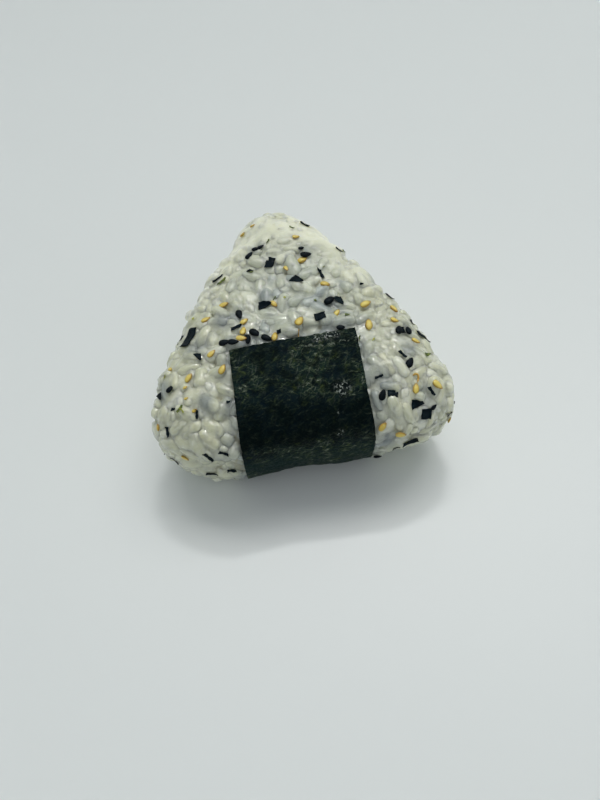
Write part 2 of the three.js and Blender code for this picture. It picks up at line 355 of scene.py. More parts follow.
class StageSettings(PropertyGroup):
    """The floor, the light and the camera."""

    camera_height: size_property("Camera Height", "Camera above the table", 0.1748)
    camera_distance: size_property("Camera Distance", "From under the camera to the body's middle", 0.131)
    camera_offset: size_property("Camera Offset", "Body's middle to the right of the camera", 0.0014)
    camera_azimuth: FloatProperty(
        name="Azimuth", description="Turn of the view about the upright axis", default=math.radians(6.2),
        subtype="ANGLE",
    )
    camera_pitch: FloatProperty(
        name="Pitch", description="How far the view looks down", default=math.radians(53.81), subtype="ANGLE"
    )
    camera_roll: FloatProperty(
        name="Roll", description="Turn of the view about its own axis", default=math.radians(-4.13),
        subtype="ANGLE",
    )
    lens: FloatProperty(name="Lens", description="Focal length in millimetres", default=30.47)
    floor_color: FloatVectorProperty(
        name="Floor", description="Colour of the table", default=(0.735, 0.77, 0.76), subtype="COLOR"
    )


# ---- Shader helpers ----


class Signal:
    """A shader socket that Python's operators work on."""

    def __init__(self, shader, socket):
        self.shader = shader
        self.socket = socket

    def __add__(self, other):
        return self.shader.math("ADD", self, other)

    __radd__ = __add__

    def __sub__(self, other):
        return self.shader.math("SUBTRACT", self, other)

    def __rsub__(self, other):
        return self.shader.math("SUBTRACT", other, self)

    def __mul__(self, other):
        return self.shader.math("MULTIPLY", self, other)

    __rmul__ = __mul__

    def clamp(self, low=0.0, high=1.0):
        """This value, moved into a range."""
        return self.shader.math("MINIMUM", self.shader.math("MAXIMUM", self, low), high)

    def ramp(self, low, high):
        """0 where this value is low, 1 where it is high, smooth between them."""
        return self.shader.node(
            "ShaderNodeMapRange", {"interpolation_type": "SMOOTHSTEP"},
            {"Value": self, "From Min": low, "From Max": high},
        )


class Shader:
    """A material's node tree, built by expressions."""

    def __init__(self, name):
        self.material = bpy.data.materials.new(name)
        self.material.use_nodes = True
        self.tree = self.material.node_tree
        self.surface = self.tree.nodes["Principled BSDF"]

    def node(self, kind, settings=None, inputs=None, output=0):
        """Adds a node with its settings and inputs, and gives one of its outputs."""
        node = self.tree.nodes.new(kind)
        for name, value in (settings or {}).items():
            setattr(node, name, value)
        for name, value in (inputs or {}).items():
            self.feed(node.inputs[name], value)
        return Signal(self, node.outputs[output])

    def feed(self, socket, value):
        """Links a signal to a socket, or sets a plain value on it."""
        if isinstance(value, Signal):
            self.tree.links.new(value.socket, socket)
        else:
            socket.default_value = value

    def math(self, operation, first, second):
        """One Math node."""
        return self.node("ShaderNodeMath", {"operation": operation}, {0: first, 1: second})

    def place(self):
        """Object coordinates, in metres."""
        return self.node("ShaderNodeTexCoord", output="Object")

    def attribute(self, name, output="Fac"):
        """A value that the mesh's points carry, or a vector with the output of that name."""
        return self.node("ShaderNodeAttribute", {"attribute_name": name}, output=output)

    def part(self, vector, axis):
        """One of a vector's three numbers."""
        return self.node("ShaderNodeSeparateXYZ", None, {"Vector": vector}, output=axis)

    def noise(self, place, size, detail=2.0, roughness=0.5, distortion=0.0):
        """Soft noise with lumps of about this size, in metres."""
        values = {"Vector": place, "Scale": 1.0 / size, "Detail": detail, "Roughness": roughness}
        return self.node("ShaderNodeTexNoise", None, {**values, "Distortion": distortion})

    def streaks(self, inside, seed):
        """Long noise along a grain, from its own coordinates in millimetres, different for each seed."""
        long = self.node("ShaderNodeMapping", None, {"Vector": inside, "Scale": (0.28, 1.0, 1.0)})
        values = {"Vector": long, "W": seed * 50.0, "Scale": 1.15, "Detail": 2.0}
        return self.node("ShaderNodeTexNoise", {"noise_dimensions": "4D"}, values)

    def fibres(self, place, turn, size):
        """Short thin threads, 1 on them and 0 between them, along one direction."""
        turned = self.node(
            "ShaderNodeMapping", {"vector_type": "TEXTURE"},
            {"Vector": place, "Rotation": (0.0, 0.0, turn), "Scale": (3.6, 1.0, 1.0)},
        )
        wander = self.noise(turned, size, detail=2.0, roughness=0.55, distortion=0.5)
        return wander.ramp(0.54, 0.66)

    def mix(self, factor, first, second):
        """A colour between two."""
        node = self.tree.nodes.new("ShaderNodeMix")
        node.data_type = "RGBA"
        self.feed(node.inputs["Factor"], factor)
        for name, value in (("A", first), ("B", second)):
            sockets = [socket for socket in node.inputs if socket.name == name and socket.type == "RGBA"]
            self.feed(sockets[0], (*value, 1.0) if isinstance(value, tuple) else value)
        colour = [socket for socket in node.outputs if socket.type == "RGBA"]
        return Signal(self, colour[0])

    def bump(self, height, distance):
        """Fine relief of a given height, in metres."""
        return self.node("ShaderNodeBump", None, {"Height": height, "Distance": distance, "Strength": 1.0})

    def finish(self, **sockets):
        """Sets or links the surface's own sockets, and gives the material."""
        for name, value in sockets.items():
            self.feed(self.surface.inputs[name.replace("_", " ")], value)
        return self.material


# ---- Materials ----

RICE_COOL = (0.385, 0.435, 0.405)
RICE_PLAIN = (0.475, 0.51, 0.41)
RICE_WARM = (0.585, 0.595, 0.405)
RICE_PAINTED_GLOW = (0.88, 0.90, 0.72)
RICE_PRESSED_AND_LIT = (0.93, 0.94, 0.75)
RICE_STREAK = (0.80, 0.84, 0.76)
RICE_GAP_STARCH_AND_SHADE = (0.33, 0.31, 0.19)
RICE_SHADED = (0.20, 0.235, 0.25)
NORI_DARK = (0.0008, 0.0026, 0.0034)
NORI_BLUE = (0.0012, 0.0044, 0.0090)
NORI_GREEN = (0.0085, 0.0200, 0.0160)
NORI_OLIVE = (0.068, 0.092, 0.052)
NORI_PALE_FIBRE_AND_HIGHLIGHT = (0.24, 0.27, 0.22)
NORI_MOSS = (0.058, 0.080, 0.022)
NORI_PAINTED_BOUNCE = (0.0085, 0.0260, 0.0250)
NORI_PAINTED_GLINT = (0.36, 0.40, 0.36)
NORI_TINT = (0.55, 0.95, 0.85, 1.0)  # of its highlights
SESAME_GOLD = (0.76, 0.62, 0.13)
SESAME_DARK_GOLD = (0.62, 0.46, 0.065)
SESAME_SPECK = (0.82, 0.70, 0.30)
SESAME_RIM_AND_SHADE = (0.37, 0.21, 0.022)
SESAME_TIP = (0.24, 0.09, 0.015)
BLACK_SEED = ((0.0012, 0.0022, 0.0038), (0.007, 0.0090, 0.012))  # darkest and lightest
DARK_FLAKE = ((0.0008, 0.0038, 0.0064), (0.011, 0.025, 0.031))
DAMP_TINT = (0.6, 0.85, 1.0, 1.0)
GREEN_DARK = (0.045, 0.075, 0.010)
GREEN_FRESH = (0.15, 0.20, 0.018)
GREEN_YELLOW = (0.42, 0.45, 0.05)
STRAND_BROWN = (0.50, 0.27, 0.03)
STRAND_GOLD = (0.68, 0.46, 0.10)
# How far light spreads under the surface, in metres.
STARCH_SPREAD = 0.0026
GRAIN_SPREAD = 0.0022
SEED_SPREAD = 0.0005


def rice_material(name, spread):
    """Moist cooked rice: pale and translucent, yellower where its starch was pressed smooth. Its colour also
    holds painted light on the smooth parts and low on each grain, and painted shade in deep gaps, beside the
    strip and round the black seeds.
    """
    shader = Shader(name)
    place = shader.place()
    tone = shader.attribute("tone")
    pressed = shader.attribute("pressed")
    warm = shader.attribute("warm")
    deep = shader.attribute("deep")
    shaded = shader.attribute("shaded")
    cloud = shader.noise(place, 0.011)
    inside = shader.attribute("inside", "Vector")
    streak = shader.streaks(inside, tone)
    top = shader.part(inside, "Z").ramp(0.25, 1.45)
    colour = shader.mix((tone + 0.12 * warm).ramp(0.04, 0.30), RICE_COOL, RICE_PLAIN)
    colour = shader.mix((0.75 * warm + 0.8 * tone.ramp(0.6, 1.0)).clamp(), colour, RICE_WARM)
    colour = shader.mix(0.4 * tone.ramp(0.80, 0.86), colour, RICE_STREAK)
    # Pressed starch: yellower, and lighter than its own colour, as painted light on the tip and the upper
    # slopes.
    colour = shader.mix((pressed * 0.85 + 0.6 * (cloud - 0.5)).clamp(), colour, RICE_PRESSED_AND_LIT)
    colour = shader.mix((1.3 * (streak - 0.46)).clamp(0.0, 0.4), colour, RICE_STREAK)
    # Painted light: the lower parts of each grain and the starch in the grooves are made lighter, standing in
    # for light that passes through the rice.
    colour = shader.mix(0.36 * (1.0 - top) * (1.0 - 0.6 * pressed), colour, RICE_PAINTED_GLOW)
    # Painted shade beside the strip, round the black seeds, and at the listed greyer places.
    colour = shader.mix(shaded * (0.92 - 0.5 * tone) * (1.0 - 0.5 * pressed), colour, RICE_SHADED)
    # Painted shade in the deep gaps, with the beige of the starch there.
    colour = shader.mix(deep * (0.68 - 0.6 * pressed), colour, RICE_GAP_STARCH_AND_SHADE)
    wet = shader.noise(place, 0.0031)
    fine = shader.noise(place, 0.00045)
    return shader.finish(
        Base_Color=colour,
        Roughness=0.34 + 0.20 * wet.ramp(0.35, 0.7),
        IOR=1.38,
        Subsurface_Weight=0.8,
        Subsurface_Radius=(1.0, 0.97, 0.8),
        Subsurface_Scale=spread,
        Coat_Weight=(0.4 + 0.6 * wet.ramp(0.3, 0.6)) * (1.0 - 0.6 * pressed),
        Coat_Roughness=0.07,
        Normal=shader.bump(0.4 * streak + 0.5 * fine, 0.0003),
    )


def nori_material():
    """A pressed seaweed sheet: nearly black, with green and blue mottling and pale fibres, and with painted
    shade at its bend, painted reflected light low on its side, and painted highlights on a crease and at
    listed spots.
    """
    shader = Shader("nori_sheet")
    sheet = shader.node("ShaderNodeUVMap", {"uv_map": "sheet"})
    glint = shader.attribute("glint")
    thick = shader.noise(sheet, 0.014)
    blue = shader.noise(sheet, 0.0058)
    leaf = shader.noise(sheet, 0.0030, detail=4.0, roughness=0.65, distortion=0.7)
    speck = shader.noise(sheet, 0.0010, detail=3.0, roughness=0.6)
    spark = shader.noise(sheet, 0.0007)
    level = shader.fibres(sheet, 1.62, 0.00075)
    rising = shader.fibres(sheet, 2.15, 0.00070)
    falling = shader.fibres(sheet, 0.95, 0.00062)
    steep = shader.fibres(sheet, 2.75, 0.00055)
    along = shader.part(sheet, "X")
    # bend is where the sheet turns over the rim: there its fibres are held back and its colour gets painted
    # shade.
    bend = along.ramp(0.017, 0.022) * (1.0 - along.ramp(0.0265, 0.031))
    thin = (1.0 - thick.ramp(0.42, 0.60)) * (1.0 - 0.9 * bend)
    patch = leaf.ramp(0.40, 0.60)
    green = (patch * 0.8 + 0.25 * speck.ramp(0.4, 0.6)) * (0.25 + 0.75 * thin)
    olive = ((level + rising + 0.7 * falling) * (0.25 + 0.75 * thin) * (0.3 + 0.7 * patch)).clamp()
    pale = (rising * level + falling * level + 0.4 * steep) * (0.1 + 0.9 * thin) * patch
    moss = shader.noise(sheet, 0.0023, detail=3.0, roughness=0.6, distortion=0.6)
    mossy = moss.ramp(0.56, 0.66) * (0.35 + 0.65 * (rising + falling).clamp()) * (0.35 + 0.65 * thin)
    side = along.ramp(0.030, 0.036)
    colour = shader.mix(blue.ramp(0.44, 0.6), NORI_DARK, NORI_BLUE)
    # Painted reflected light: teal low on the strip's side, where the table's light falls back on it.
    colour = shader.mix(0.75 * side, colour, NORI_PAINTED_BOUNCE)
    colour = shader.mix(green.clamp(), colour, NORI_GREEN)
    colour = shader.mix(olive * 0.75, colour, NORI_OLIVE)
    colour = shader.mix(mossy * 0.8, colour, NORI_MOSS)
    colour = shader.mix((0.75 * pale).clamp(), colour, NORI_PALE_FIBRE_AND_HIGHLIGHT)
    # Painted highlight along the crease, in the colour of the pale fibres.
    crease = painted_crease_highlight(shader, sheet, along)
    colour = shader.mix(crease * speck.ramp(0.48, 0.60) * 0.55, colour, NORI_PALE_FIBRE_AND_HIGHLIGHT)
    # Painted shade where the sheet turns away from the light over the rim.
    colour = shader.mix(0.6 * bend, colour, NORI_DARK)
    # Painted highlights: pale specks at the listed glint places.
    colour = shader.mix((1.3 * glint * spark.ramp(0.54, 0.60)).clamp(), colour, NORI_PAINTED_GLINT)
    height = leaf + 0.35 * speck + 0.3 * (level + rising + falling + steep)
    return shader.finish(
        Base_Color=colour,
        Roughness=0.42 + 0.2 * speck.ramp(0.35, 0.65),
        Specular_IOR_Level=0.05,
        Specular_Tint=NORI_TINT,
        Coat_Weight=0.6 * glint * speck.ramp(0.45, 0.6),
        Coat_Roughness=0.2,
        Normal=shader.bump(height, 0.0004),
    )


def painted_crease_highlight(shader, sheet, along):
    """A painted highlight along the crease near the sheet's upper end, 1 on it and 0 beside it."""
    beside = shader.part(sheet, "Y")
    ragged = shader.noise(sheet, 0.0026, detail=3.0)
    at_line = along - 0.0029 - 0.035 * (beside + 0.017) - 0.0030 * (ragged - 0.5)
    off_line = shader.math("ABSOLUTE", at_line, 0.0)
    return (1.0 - off_line.ramp(0.00008, 0.00040)) * beside.ramp(-0.006, 0.006)


def white_sesame_material():
    """Toasted sesame: golden, with pale specks, a browner tip, and a browner rim that is partly the seed's
    colour and partly painted shade on its turned-away sides.
    """
    shader = Shader("white_sesame_skin")
    place = shader.place()
    tip = shader.attribute("tip")
    rim = shader.attribute("rim")
    tone = shader.attribute("tone")
    speck = shader.noise(place, 0.0006, detail=3.0)
    colour = shader.mix(tone, SESAME_GOLD, SESAME_DARK_GOLD)
    colour = shader.mix((1.1 * (speck - 0.44)).clamp(), colour, SESAME_SPECK)
    # The rim: partly the seed's colour, partly painted shade where its sides turn away.
    colour = shader.mix(rim.ramp(0.45, 0.98) * 0.85, colour, SESAME_RIM_AND_SHADE)
    colour = shader.mix(tip.ramp(0.66, 1.0) * 0.8, colour, SESAME_TIP)
    return shader.finish(
        Base_Color=colour,
        Roughness=0.34 + 0.15 * speck,
        Subsurface_Weight=0.15,
        Subsurface_Radius=(1.0, 0.7, 0.3),
        Subsurface_Scale=SEED_SPREAD,
        Coat_Weight=0.25,
        Coat_Roughness=0.2,
        Normal=shader.bump(speck, 0.00006),
    )


def dark_material(name, colours, gloss):
    """Black sesame or a seaweed flake: nearly black, faintly blue or green, and damp."""
    shader = Shader(name)
    place = shader.place()
    speck = shader.noise(place, 0.0005, detail=4.0, roughness=0.6)
    blotch = shader.noise(place, 0.0026)
    colour = shader.mix((blotch.ramp(0.42, 0.7) * speck.ramp(0.35, 0.75)).clamp(), *colours)
    return shader.finish(
        Base_Color=colour,
        Roughness=0.36 + 0.25 * speck.ramp(0.3, 0.7),
        Specular_IOR_Level=gloss,
        Specular_Tint=DAMP_TINT,
        Coat_Weight=0.28 * speck.ramp(0.54, 0.66),
        Coat_Roughness=0.10,
        Normal=shader.bump(speck, 0.00012),
    )


def green_material():
    """Dried green seaweed: olive to fresh green."""
    shader = Shader("green_flakes")
    tone = shader.attribute("tone")
    speck = shader.noise(shader.place(), 0.0007, detail=3.0)
    colour = shader.mix(speck.ramp(0.4, 0.65), GREEN_DARK, GREEN_FRESH)
    colour = shader.mix(tone.ramp(0.6, 0.9), colour, GREEN_YELLOW)
    return shader.finish(
        Base_Color=colour, Roughness=0.5 + 0.1 * speck, Normal=shader.bump(speck, 0.00006)
    )


def strand_material():
    """A curled golden strand."""
    shader = Shader("golden_strand")
    speck = shader.noise(shader.place(), 0.0006, detail=3.0)
    colour = shader.mix(speck.ramp(0.4, 0.65), STRAND_BROWN, STRAND_GOLD)
    return shader.finish(
        Base_Color=colour, Roughness=0.35 + 0.1 * speck, Coat_Weight=0.3, Coat_Roughness=0.15
    )


def floor_material(colour):
    """A pale table with a faint gloss."""
    shader = Shader("pale_table")
    cloud = shader.noise(shader.place(), 0.12)
    darker = tuple(0.985 * channel for channel in colour)
    return shader.finish(
        Base_Color=shader.mix(cloud, tuple(colour), darker),
        Roughness=0.34 + 0.04 * cloud,
        IOR=1.4,
    )


# ---- Mesh helpers ----


def add_object(name, points, faces, material=None, scale=MM):
    """A mesh object at the origin, from points in millimetres."""
    mesh = bpy.data.meshes.new(name)
    mesh.from_pydata([tuple(float(value) * scale for value in point) for point in points], [], faces)
    mesh.validate()
    item = bpy.data.objects.new(name, mesh)
    bpy.context.scene.collection.objects.link(item)
    if material:
        mesh.materials.append(material)
    return item


def shade_smooth(item):
    """Rounds the look of every face."""
    for polygon in item.data.polygons:
        polygon.use_smooth = True


def add_point_values(item, name, values):
    """Gives each point of a mesh one number."""
    attribute = item.data.attributes.new(name, "FLOAT", "POINT")
    attribute.data.foreach_set("value", np.asarray(values, dtype=np.float32))


def add_point_vectors(item, name, values):
    """Gives each point of a mesh three numbers."""
    attribute = item.data.attributes.new(name, "FLOAT_VECTOR", "POINT")
    attribute.data.foreach_set("vector", np.asarray(values, dtype=np.float32).ravel())


def points_of(item):
    """A mesh's points, in millimetres."""
    return np.array([vertex.co for vertex in item.data.vertices]) / MM


def move_points(item, points):
    """Puts a mesh's points at new places, in millimetres."""
    item.data.vertices.foreach_set("co", (points * MM).astype(np.float32).ravel())


# ---- Where the rice looks different ----

# How much of the left slope counts as pressed smooth: in shape, and in colour, where the pressed colour also
# paints light on that slope.
LEFT_PART_OF_SHAPE = 0.25
LEFT_PART_OF_COLOUR_AND_LIGHT = 0.8


def pressed_share(points, left_part):
    """Where the rice was pressed smooth: the tip and the upper slopes, in patches, 0 to 1."""
    x, y, z = points[:, 0], points[:, 1], points[:, 2]
    rim = outline_share(x, y)
    tip = smooth_step(12.0, 30.0, y) * smooth_step(22.0, 33.0, z)
    right_edge = smooth_step(0.5, 0.85, rim) * smooth_step(-10.0, 4.0, y) * smooth_step(2.0, 12.0, x)
    left_edge = smooth_step(0.6, 0.95, rim) * smooth_step(-4.0, 10.0, y) * smooth_step(-2.0, -10.0, x)
    patches = soft_noise(points, 0.16, (3.0, 9.0, 1.0))
    share = tip + (0.7 * right_edge + left_part * left_edge) * smooth_step(14.0, 26.0, z)
    return np.clip(share * (0.95 + 1.1 * patches), 0.0, 0.9)


def warm_share(points):
    """Where the rice is yellower: towards the two lower corners and the tip, 0 to 1."""
    beside = smooth_step(6.0, 26.0, np.abs(points[:, 0] - MIDDLE[0]))
    return np.clip(beside + smooth_step(5.0, 22.0, points[:, 1]), 0.0, 1.0)


def near_strip_share(points):
    """Where the rice gets painted shade beside the seaweed strip, most at the strip's left side, 0 to 1."""
    left = smooth_step(0.0, -6.0, points[:, 0] - STRIP_MIDDLE_X)
    left = left * smooth_step(0.0, -6.0, points[:, 1] - STRIP_TOP_Y)
    return (0.78 + 0.2 * left) * smooth_step(-6.0, -0.3, strip_depth(points))


def near_dark_share(points):
    """Where the rice gets painted shade round the black seeds on it, most where they crowd, 0 to 1."""
    view = CameraView(bpy.context.scene.rice_stage)
    skin = packed_grains().skin
    crowd = np.zeros(len(points))
    for column, row, _, _ in BLACK_SEEDS:
        crowd += np.exp(-((skin.apart(view, column, row, points) / SHADE_REACH) ** 2))
    return 1.0 - np.exp(-((crowd / 1.3) ** 2))


def grey_place_share(points):
    """Where the grains are painted darker and greyer with the painted shade colour, at listed places, 0 to 1.
    """
    view = CameraView(bpy.context.scene.rice_stage)
    skin = packed_grains().skin
    share = np.zeros(len(points))
    for column, row, radius in GREY_PLACES:
        apart = skin.apart(view, column, row, points)
        share = np.maximum(share, np.exp(-((apart / radius) ** 4)))
    return share


def shaded_share(points):
    """Where the rice gets painted shade: beside the strip, round the black seeds, and at the listed greyer
    places, 0 to 1.
    """
    beside = np.maximum(near_strip_share(points), near_dark_share(points))
    return np.maximum(beside, 0.9 * grey_place_share(points))


def add_rice_values(item, points):
    """Marks each point of the rice with how smooth and how yellow it is, which also paints light on the
    smooth parts, and how much painted shade it gets.
    """
    add_point_values(item, "pressed", pressed_share(points, LEFT_PART_OF_COLOUR_AND_LIGHT))
    add_point_values(item, "warm", warm_share(points))
    add_point_values(item, "shaded", shaded_share(points))


def strip_cover(points, edge=0.0):
    """1 under the seaweed strip, 0 away from it, smooth at its edges. The edge widens the strip."""
    inside = strip_depth(points) + edge
    return smooth_step(-0.9, 0.1 + edge, inside)


def strip_depth(points):
    """How far inside the strip's outline a place lies, seen from above and from the front."""
    half_width = bpy.context.scene.rice_strip.width / MM / 2.0
    beside = half_width - np.abs(beside_strip_line(points[:, 0], points[:, 1]))
    slant = STRIP_SLANT * beside_strip_line(points[:, 0], points[:, 1])
    return np.minimum(beside, STRIP_TOP_Y + slant - points[:, 1])


def strip_lift(normals):
    """Height of the strip's outer side over the skin: more on the face than on the sides."""
    return STRIP_LIFT_ON_SIDE + (STRIP_LIFT_ON_FACE - STRIP_LIFT_ON_SIDE) * np.maximum(0.0, normals[:, 2])


def strip_room(normals):
    """Height over the skin that the rice may reach under the strip."""
    return strip_lift(normals) - bpy.context.scene.rice_strip.thickness / MM - STRIP_CLEARANCE


# ---- Geometry Nodes ----


class ScatterTree:
    """A node tree that puts one of several shapes on each point of a mesh."""

    def __init__(self, name, material):
        self.group = bpy.data.node_groups.new(name, "GeometryNodeTree")
        self.group.interface.new_socket("Geometry", in_out="INPUT", socket_type="NodeSocketGeometry")
        self.add_input("Shapes", "NodeSocketCollection")
        self.add_input("Dent Height", "NodeSocketFloat")
        self.add_input("Dent Size", "NodeSocketFloat")
        self.group.interface.new_socket("Geometry", in_out="OUTPUT", socket_type="NodeSocketGeometry")
        self.build(material)

    def add_input(self, name, kind):
        """A named input of the tree."""
        self.group.interface.new_socket(name, in_out="INPUT", socket_type=kind)

    def node(self, kind, **settings):
        """Adds a node with its settings."""
        node = self.group.nodes.new(kind)
        for name, value in settings.items():
            setattr(node, name, value)
        return node

    def named(self, name, data_type):
        """A node that reads an attribute of the points."""
        node = self.node("GeometryNodeInputNamedAttribute", data_type=data_type)
        node.inputs["Name"].default_value = name
        return node.outputs["Attribute"]

    def build(self, material):
        """Instances, made real, dented by noise and given their material."""
        link = self.group.links.new
        source = self.node("NodeGroupInput").outputs
        shapes = self.node("GeometryNodeCollectionInfo")
        shapes.inputs["Separate Children"].default_value = True
        shapes.inputs["Reset Children"].default_value = True
        link(source["Shapes"], shapes.inputs["Collection"])
        place = self.node("GeometryNodeInstanceOnPoints")
        place.inputs["Pick Instance"].default_value = True
        link(source["Geometry"], place.inputs["Points"])
        link(shapes.outputs["Instances"], place.inputs["Instance"])
        link(self.named("variant", "INT"), place.inputs["Instance Index"])
        link(self.named("turn", "FLOAT_VECTOR"), place.inputs["Rotation"])
        link(self.named("stretch", "FLOAT_VECTOR"), place.inputs["Scale"])
        real = self.node("GeometryNodeRealizeInstances")
        link(place.outputs["Instances"], real.inputs["Geometry"])
        dented = self.dent(real.outputs["Geometry"], source)
        finish = self.node("GeometryNodeSetMaterial")
        finish.inputs["Material"].default_value = material
        link(dented, finish.inputs["Geometry"])
        link(finish.outputs["Geometry"], self.node("NodeGroupOutput").inputs["Geometry"])

    def dent(self, geometry, source):
        """Moves every point a little, by noise."""
        link = self.group.links.new
        frequency = self.node("ShaderNodeMath", operation="DIVIDE")
        frequency.inputs[0].default_value = 1.0
        link(source["Dent Size"], frequency.inputs[1])
        texture = self.node("ShaderNodeTexNoise", noise_dimensions="3D")
        link(frequency.outputs[0], texture.inputs["Scale"])
        centred = self.node("ShaderNodeVectorMath", operation="SUBTRACT")
        centred.inputs[1].default_value = (0.5, 0.5, 0.5)
        link(texture.outputs["Color"], centred.inputs[0])
        sized = self.node("ShaderNodeVectorMath", operation="SCALE")
        link(centred.outputs[0], sized.inputs[0])
        link(source["Dent Height"], sized.inputs["Scale"])
        move = self.node("GeometryNodeSetPosition")
        link(geometry, move.inputs["Geometry"])
        link(sized.outputs[0], move.inputs["Offset"])
        return move.outputs["Geometry"]


def scattered_piece(name, spots, shapes, material, dent_height, dent_size):
    """One mesh of many shapes. A spot is a place, a turn, a stretch, a variant and a tone."""
    places = [spot[0] for spot in spots]
    item = add_object(name, places, [])
    add_point_vectors(item, "turn", [tuple(spot[1].to_euler("XYZ")) for spot in spots])
    add_point_vectors(item, "stretch", [spot[2] for spot in spots])
    variants = item.data.attributes.new("variant", "INT", "POINT")
    variants.data.foreach_set("value", np.asarray([spot[3] for spot in spots], dtype=np.int32))
    add_point_values(item, "tone", [spot[4] for spot in spots])
    collection = shape_collection(name, shapes)
    tree = ScatterTree(name + "_scatter", material)
    modifier = item.modifiers.new("Scatter", "NODES")
    modifier.node_group = tree.group
    values = {"Shapes": collection, "Dent Height": dent_height, "Dent Size": dent_size}
    for socket in tree.group.interface.items_tree:
        if socket.in_out == "INPUT" and socket.name in values:
            modifier[socket.identifier] = values[socket.name]
    bake_modifiers(item)
    remove_collection(collection)
    return item


def shape_collection(name, shapes):
    """A collection that holds the shapes to scatter, in the order of their names."""
    collection = bpy.data.collections.new(name + "_shapes")
    bpy.context.scene.collection.children.link(collection)
    for shape in shapes:
        bpy.context.scene.collection.objects.unlink(shape)
        collection.objects.link(shape)
    return collection


def remove_collection(collection):
    """Removes the shapes once their copies are made."""
    for shape in list(collection.objects):
        bpy.data.objects.remove(shape)
    bpy.data.collections.remove(collection)


def evened(mesh, values, rounds):
    """The rows of values at a mesh's points, each moved halfway to its neighbours' middle, a few times."""
    count = len(mesh.vertices)
    edges = np.empty(len(mesh.edges) * 2, dtype=np.int32)
    mesh.edges.foreach_get("vertices", edges)
    first, second = edges.reshape(-1, 2).T
    degree = np.bincount(first, minlength=count) + np.bincount(second, minlength=count)
    for _ in range(rounds):
        total = np.zeros_like(values)
        np.add.at(total, first, values[second])
        np.add.at(total, second, values[first])
        values = 0.5 * values + 0.5 * total / np.maximum(degree, 1)[:, None]
    return values


def soften(item, rounds):
    """Evens out the points of a mesh."""
    mesh = item.data
    points = np.empty(len(mesh.vertices) * 3, dtype=np.float32)
    mesh.vertices.foreach_get("co", points)
    points = evened(mesh, points.reshape(-1, 3), rounds)
    mesh.vertices.foreach_set("co", points.astype(np.float32).ravel())
    mesh.update()


def keep_over_table(item, lowest=0.0):
    """Flattens what would reach through the table, or nearer to it than the given millimetres."""
    for vertex in item.data.vertices:
        vertex.co.z = max(vertex.co.z, lowest * MM)


def bake_modifiers(item):
    """Turns an object with modifiers into a plain mesh."""
    bpy.context.view_layer.update()
    graph = bpy.context.evaluated_depsgraph_get()
    mesh = bpy.data.meshes.new_from_object(item.evaluated_get(graph))
    item.modifiers.clear()
    item.data = mesh
    shade_smooth(item)


# ---- Shapes of one grain, seed and flake, in millimetres ----

# Radii from one tip to the other as shares of half the width, and the bend of the middle.
GRAIN_PROFILES = (
    ((0.46, 0.80, 0.97, 1.0, 0.95, 0.76, 0.42), 0.10),
    ((0.54, 0.90, 1.0, 0.97, 0.86, 0.64, 0.33), -0.25),
    ((0.38, 0.72, 0.94, 1.0, 1.0, 0.86, 0.54), 0.30),
    ((0.58, 0.86, 0.95, 0.97, 0.96, 0.87, 0.56), 0.0),
    ((0.36, 0.82, 1.0, 0.91, 0.98, 0.82, 0.46), 0.18),
)
# The same radii of a seed, and its thickness as a share of its width.
SEED_PROFILES = (
    ((0.52, 0.86, 1.0, 0.91, 0.64, 0.30), 0.62),
    ((0.58, 0.92, 1.0, 0.84, 0.56, 0.25), 0.52),
)
FLAKE_RAGGEDNESS = 0.06
RAGGED_SHIFTS = (Vector((7.3, -12.1, 4.6)), Vector((-18.4, 9.7, 21.2)))  # of its noise, across and up
FLAKE_CURL_START = 0.28  # share of its size from its middle

def spindle(name, radii, length, width, thickness, bend=0.0, around=9):
    """A closed shape along X, from a list of radii between its two tips. A bend moves its middle along Y."""
    points = [(-length / 2.0, 0.0, 0.0)]
    count = len(radii)
    tips = [0.0]
    rims = [1.0]
    for index, radius in enumerate(radii):
        share = 0.5 - 0.5 * math.cos(math.pi * (index + 1) / (count + 1))
        x = length * (share - 0.5)
        rise = bend * (1.0 - (2.0 * share - 1.0) ** 2)
        for step in range(around):
            angle = -2.0 * math.pi * step / around
            y = width / 2.0 * radius * math.cos(angle) + rise
            points.append((x, y, thickness / 2.0 * radius * math.sin(angle)))
            tips.append(share)
            rims.append(abs(math.cos(angle)))
    points.append((length / 2.0, 0.0, 0.0))
    tips.append(1.0)
    rims.append(1.0)
    faces = [tuple(reversed(face)) for face in ring_faces(around, count)]
    item = add_object(name, points, faces)
    add_point_values(item, "tip", tips)
    add_point_values(item, "rim", rims)
    add_point_vectors(item, "inside", points)
    return item


def grain_shapes(settings):
    """Plump grains, each a little different: straight, bent, blunt or with a narrow end."""
    length, width, thickness = (value / MM for value in (settings.length, settings.width, settings.thickness))
    return [
        spindle(f"grain_shape_{index}", radii, length, width, thickness, bend)
        for index, (radii, bend) in enumerate(GRAIN_PROFILES)
    ]


def seed_shapes(prefix, settings):
    """Sesame seeds: a drop with one pointed tip, thick or flat."""
    length = settings.seed_length / MM
    width = settings.seed_width / MM
    return [
        spindle(f"{prefix}_shape_{index}", radii, length, width, width * flatness, around=10)
        for index, (radii, flatness) in enumerate(SEED_PROFILES)
    ]


# Corners of a scrap as shares of its size: a rectangle, a triangle, a sliver, a square and a long one.
FLAKE_CORNERS = (
    ((-0.50, -0.31), (0.48, -0.34), (0.52, 0.30), (-0.47, 0.34)),
    ((-0.50, -0.30), (0.52, -0.08), (0.40, 0.14), (-0.34, 0.44)),
    ((-0.50, -0.14), (0.52, -0.11), (0.46, 0.12), (-0.46, 0.15)),
    ((-0.40, -0.42), (0.44, -0.38), (0.38, 0.42), (-0.43, 0.38)),
    ((-0.50, -0.19), (0.50, -0.17), (0.48, 0.19), (-0.50, 0.20)),
)


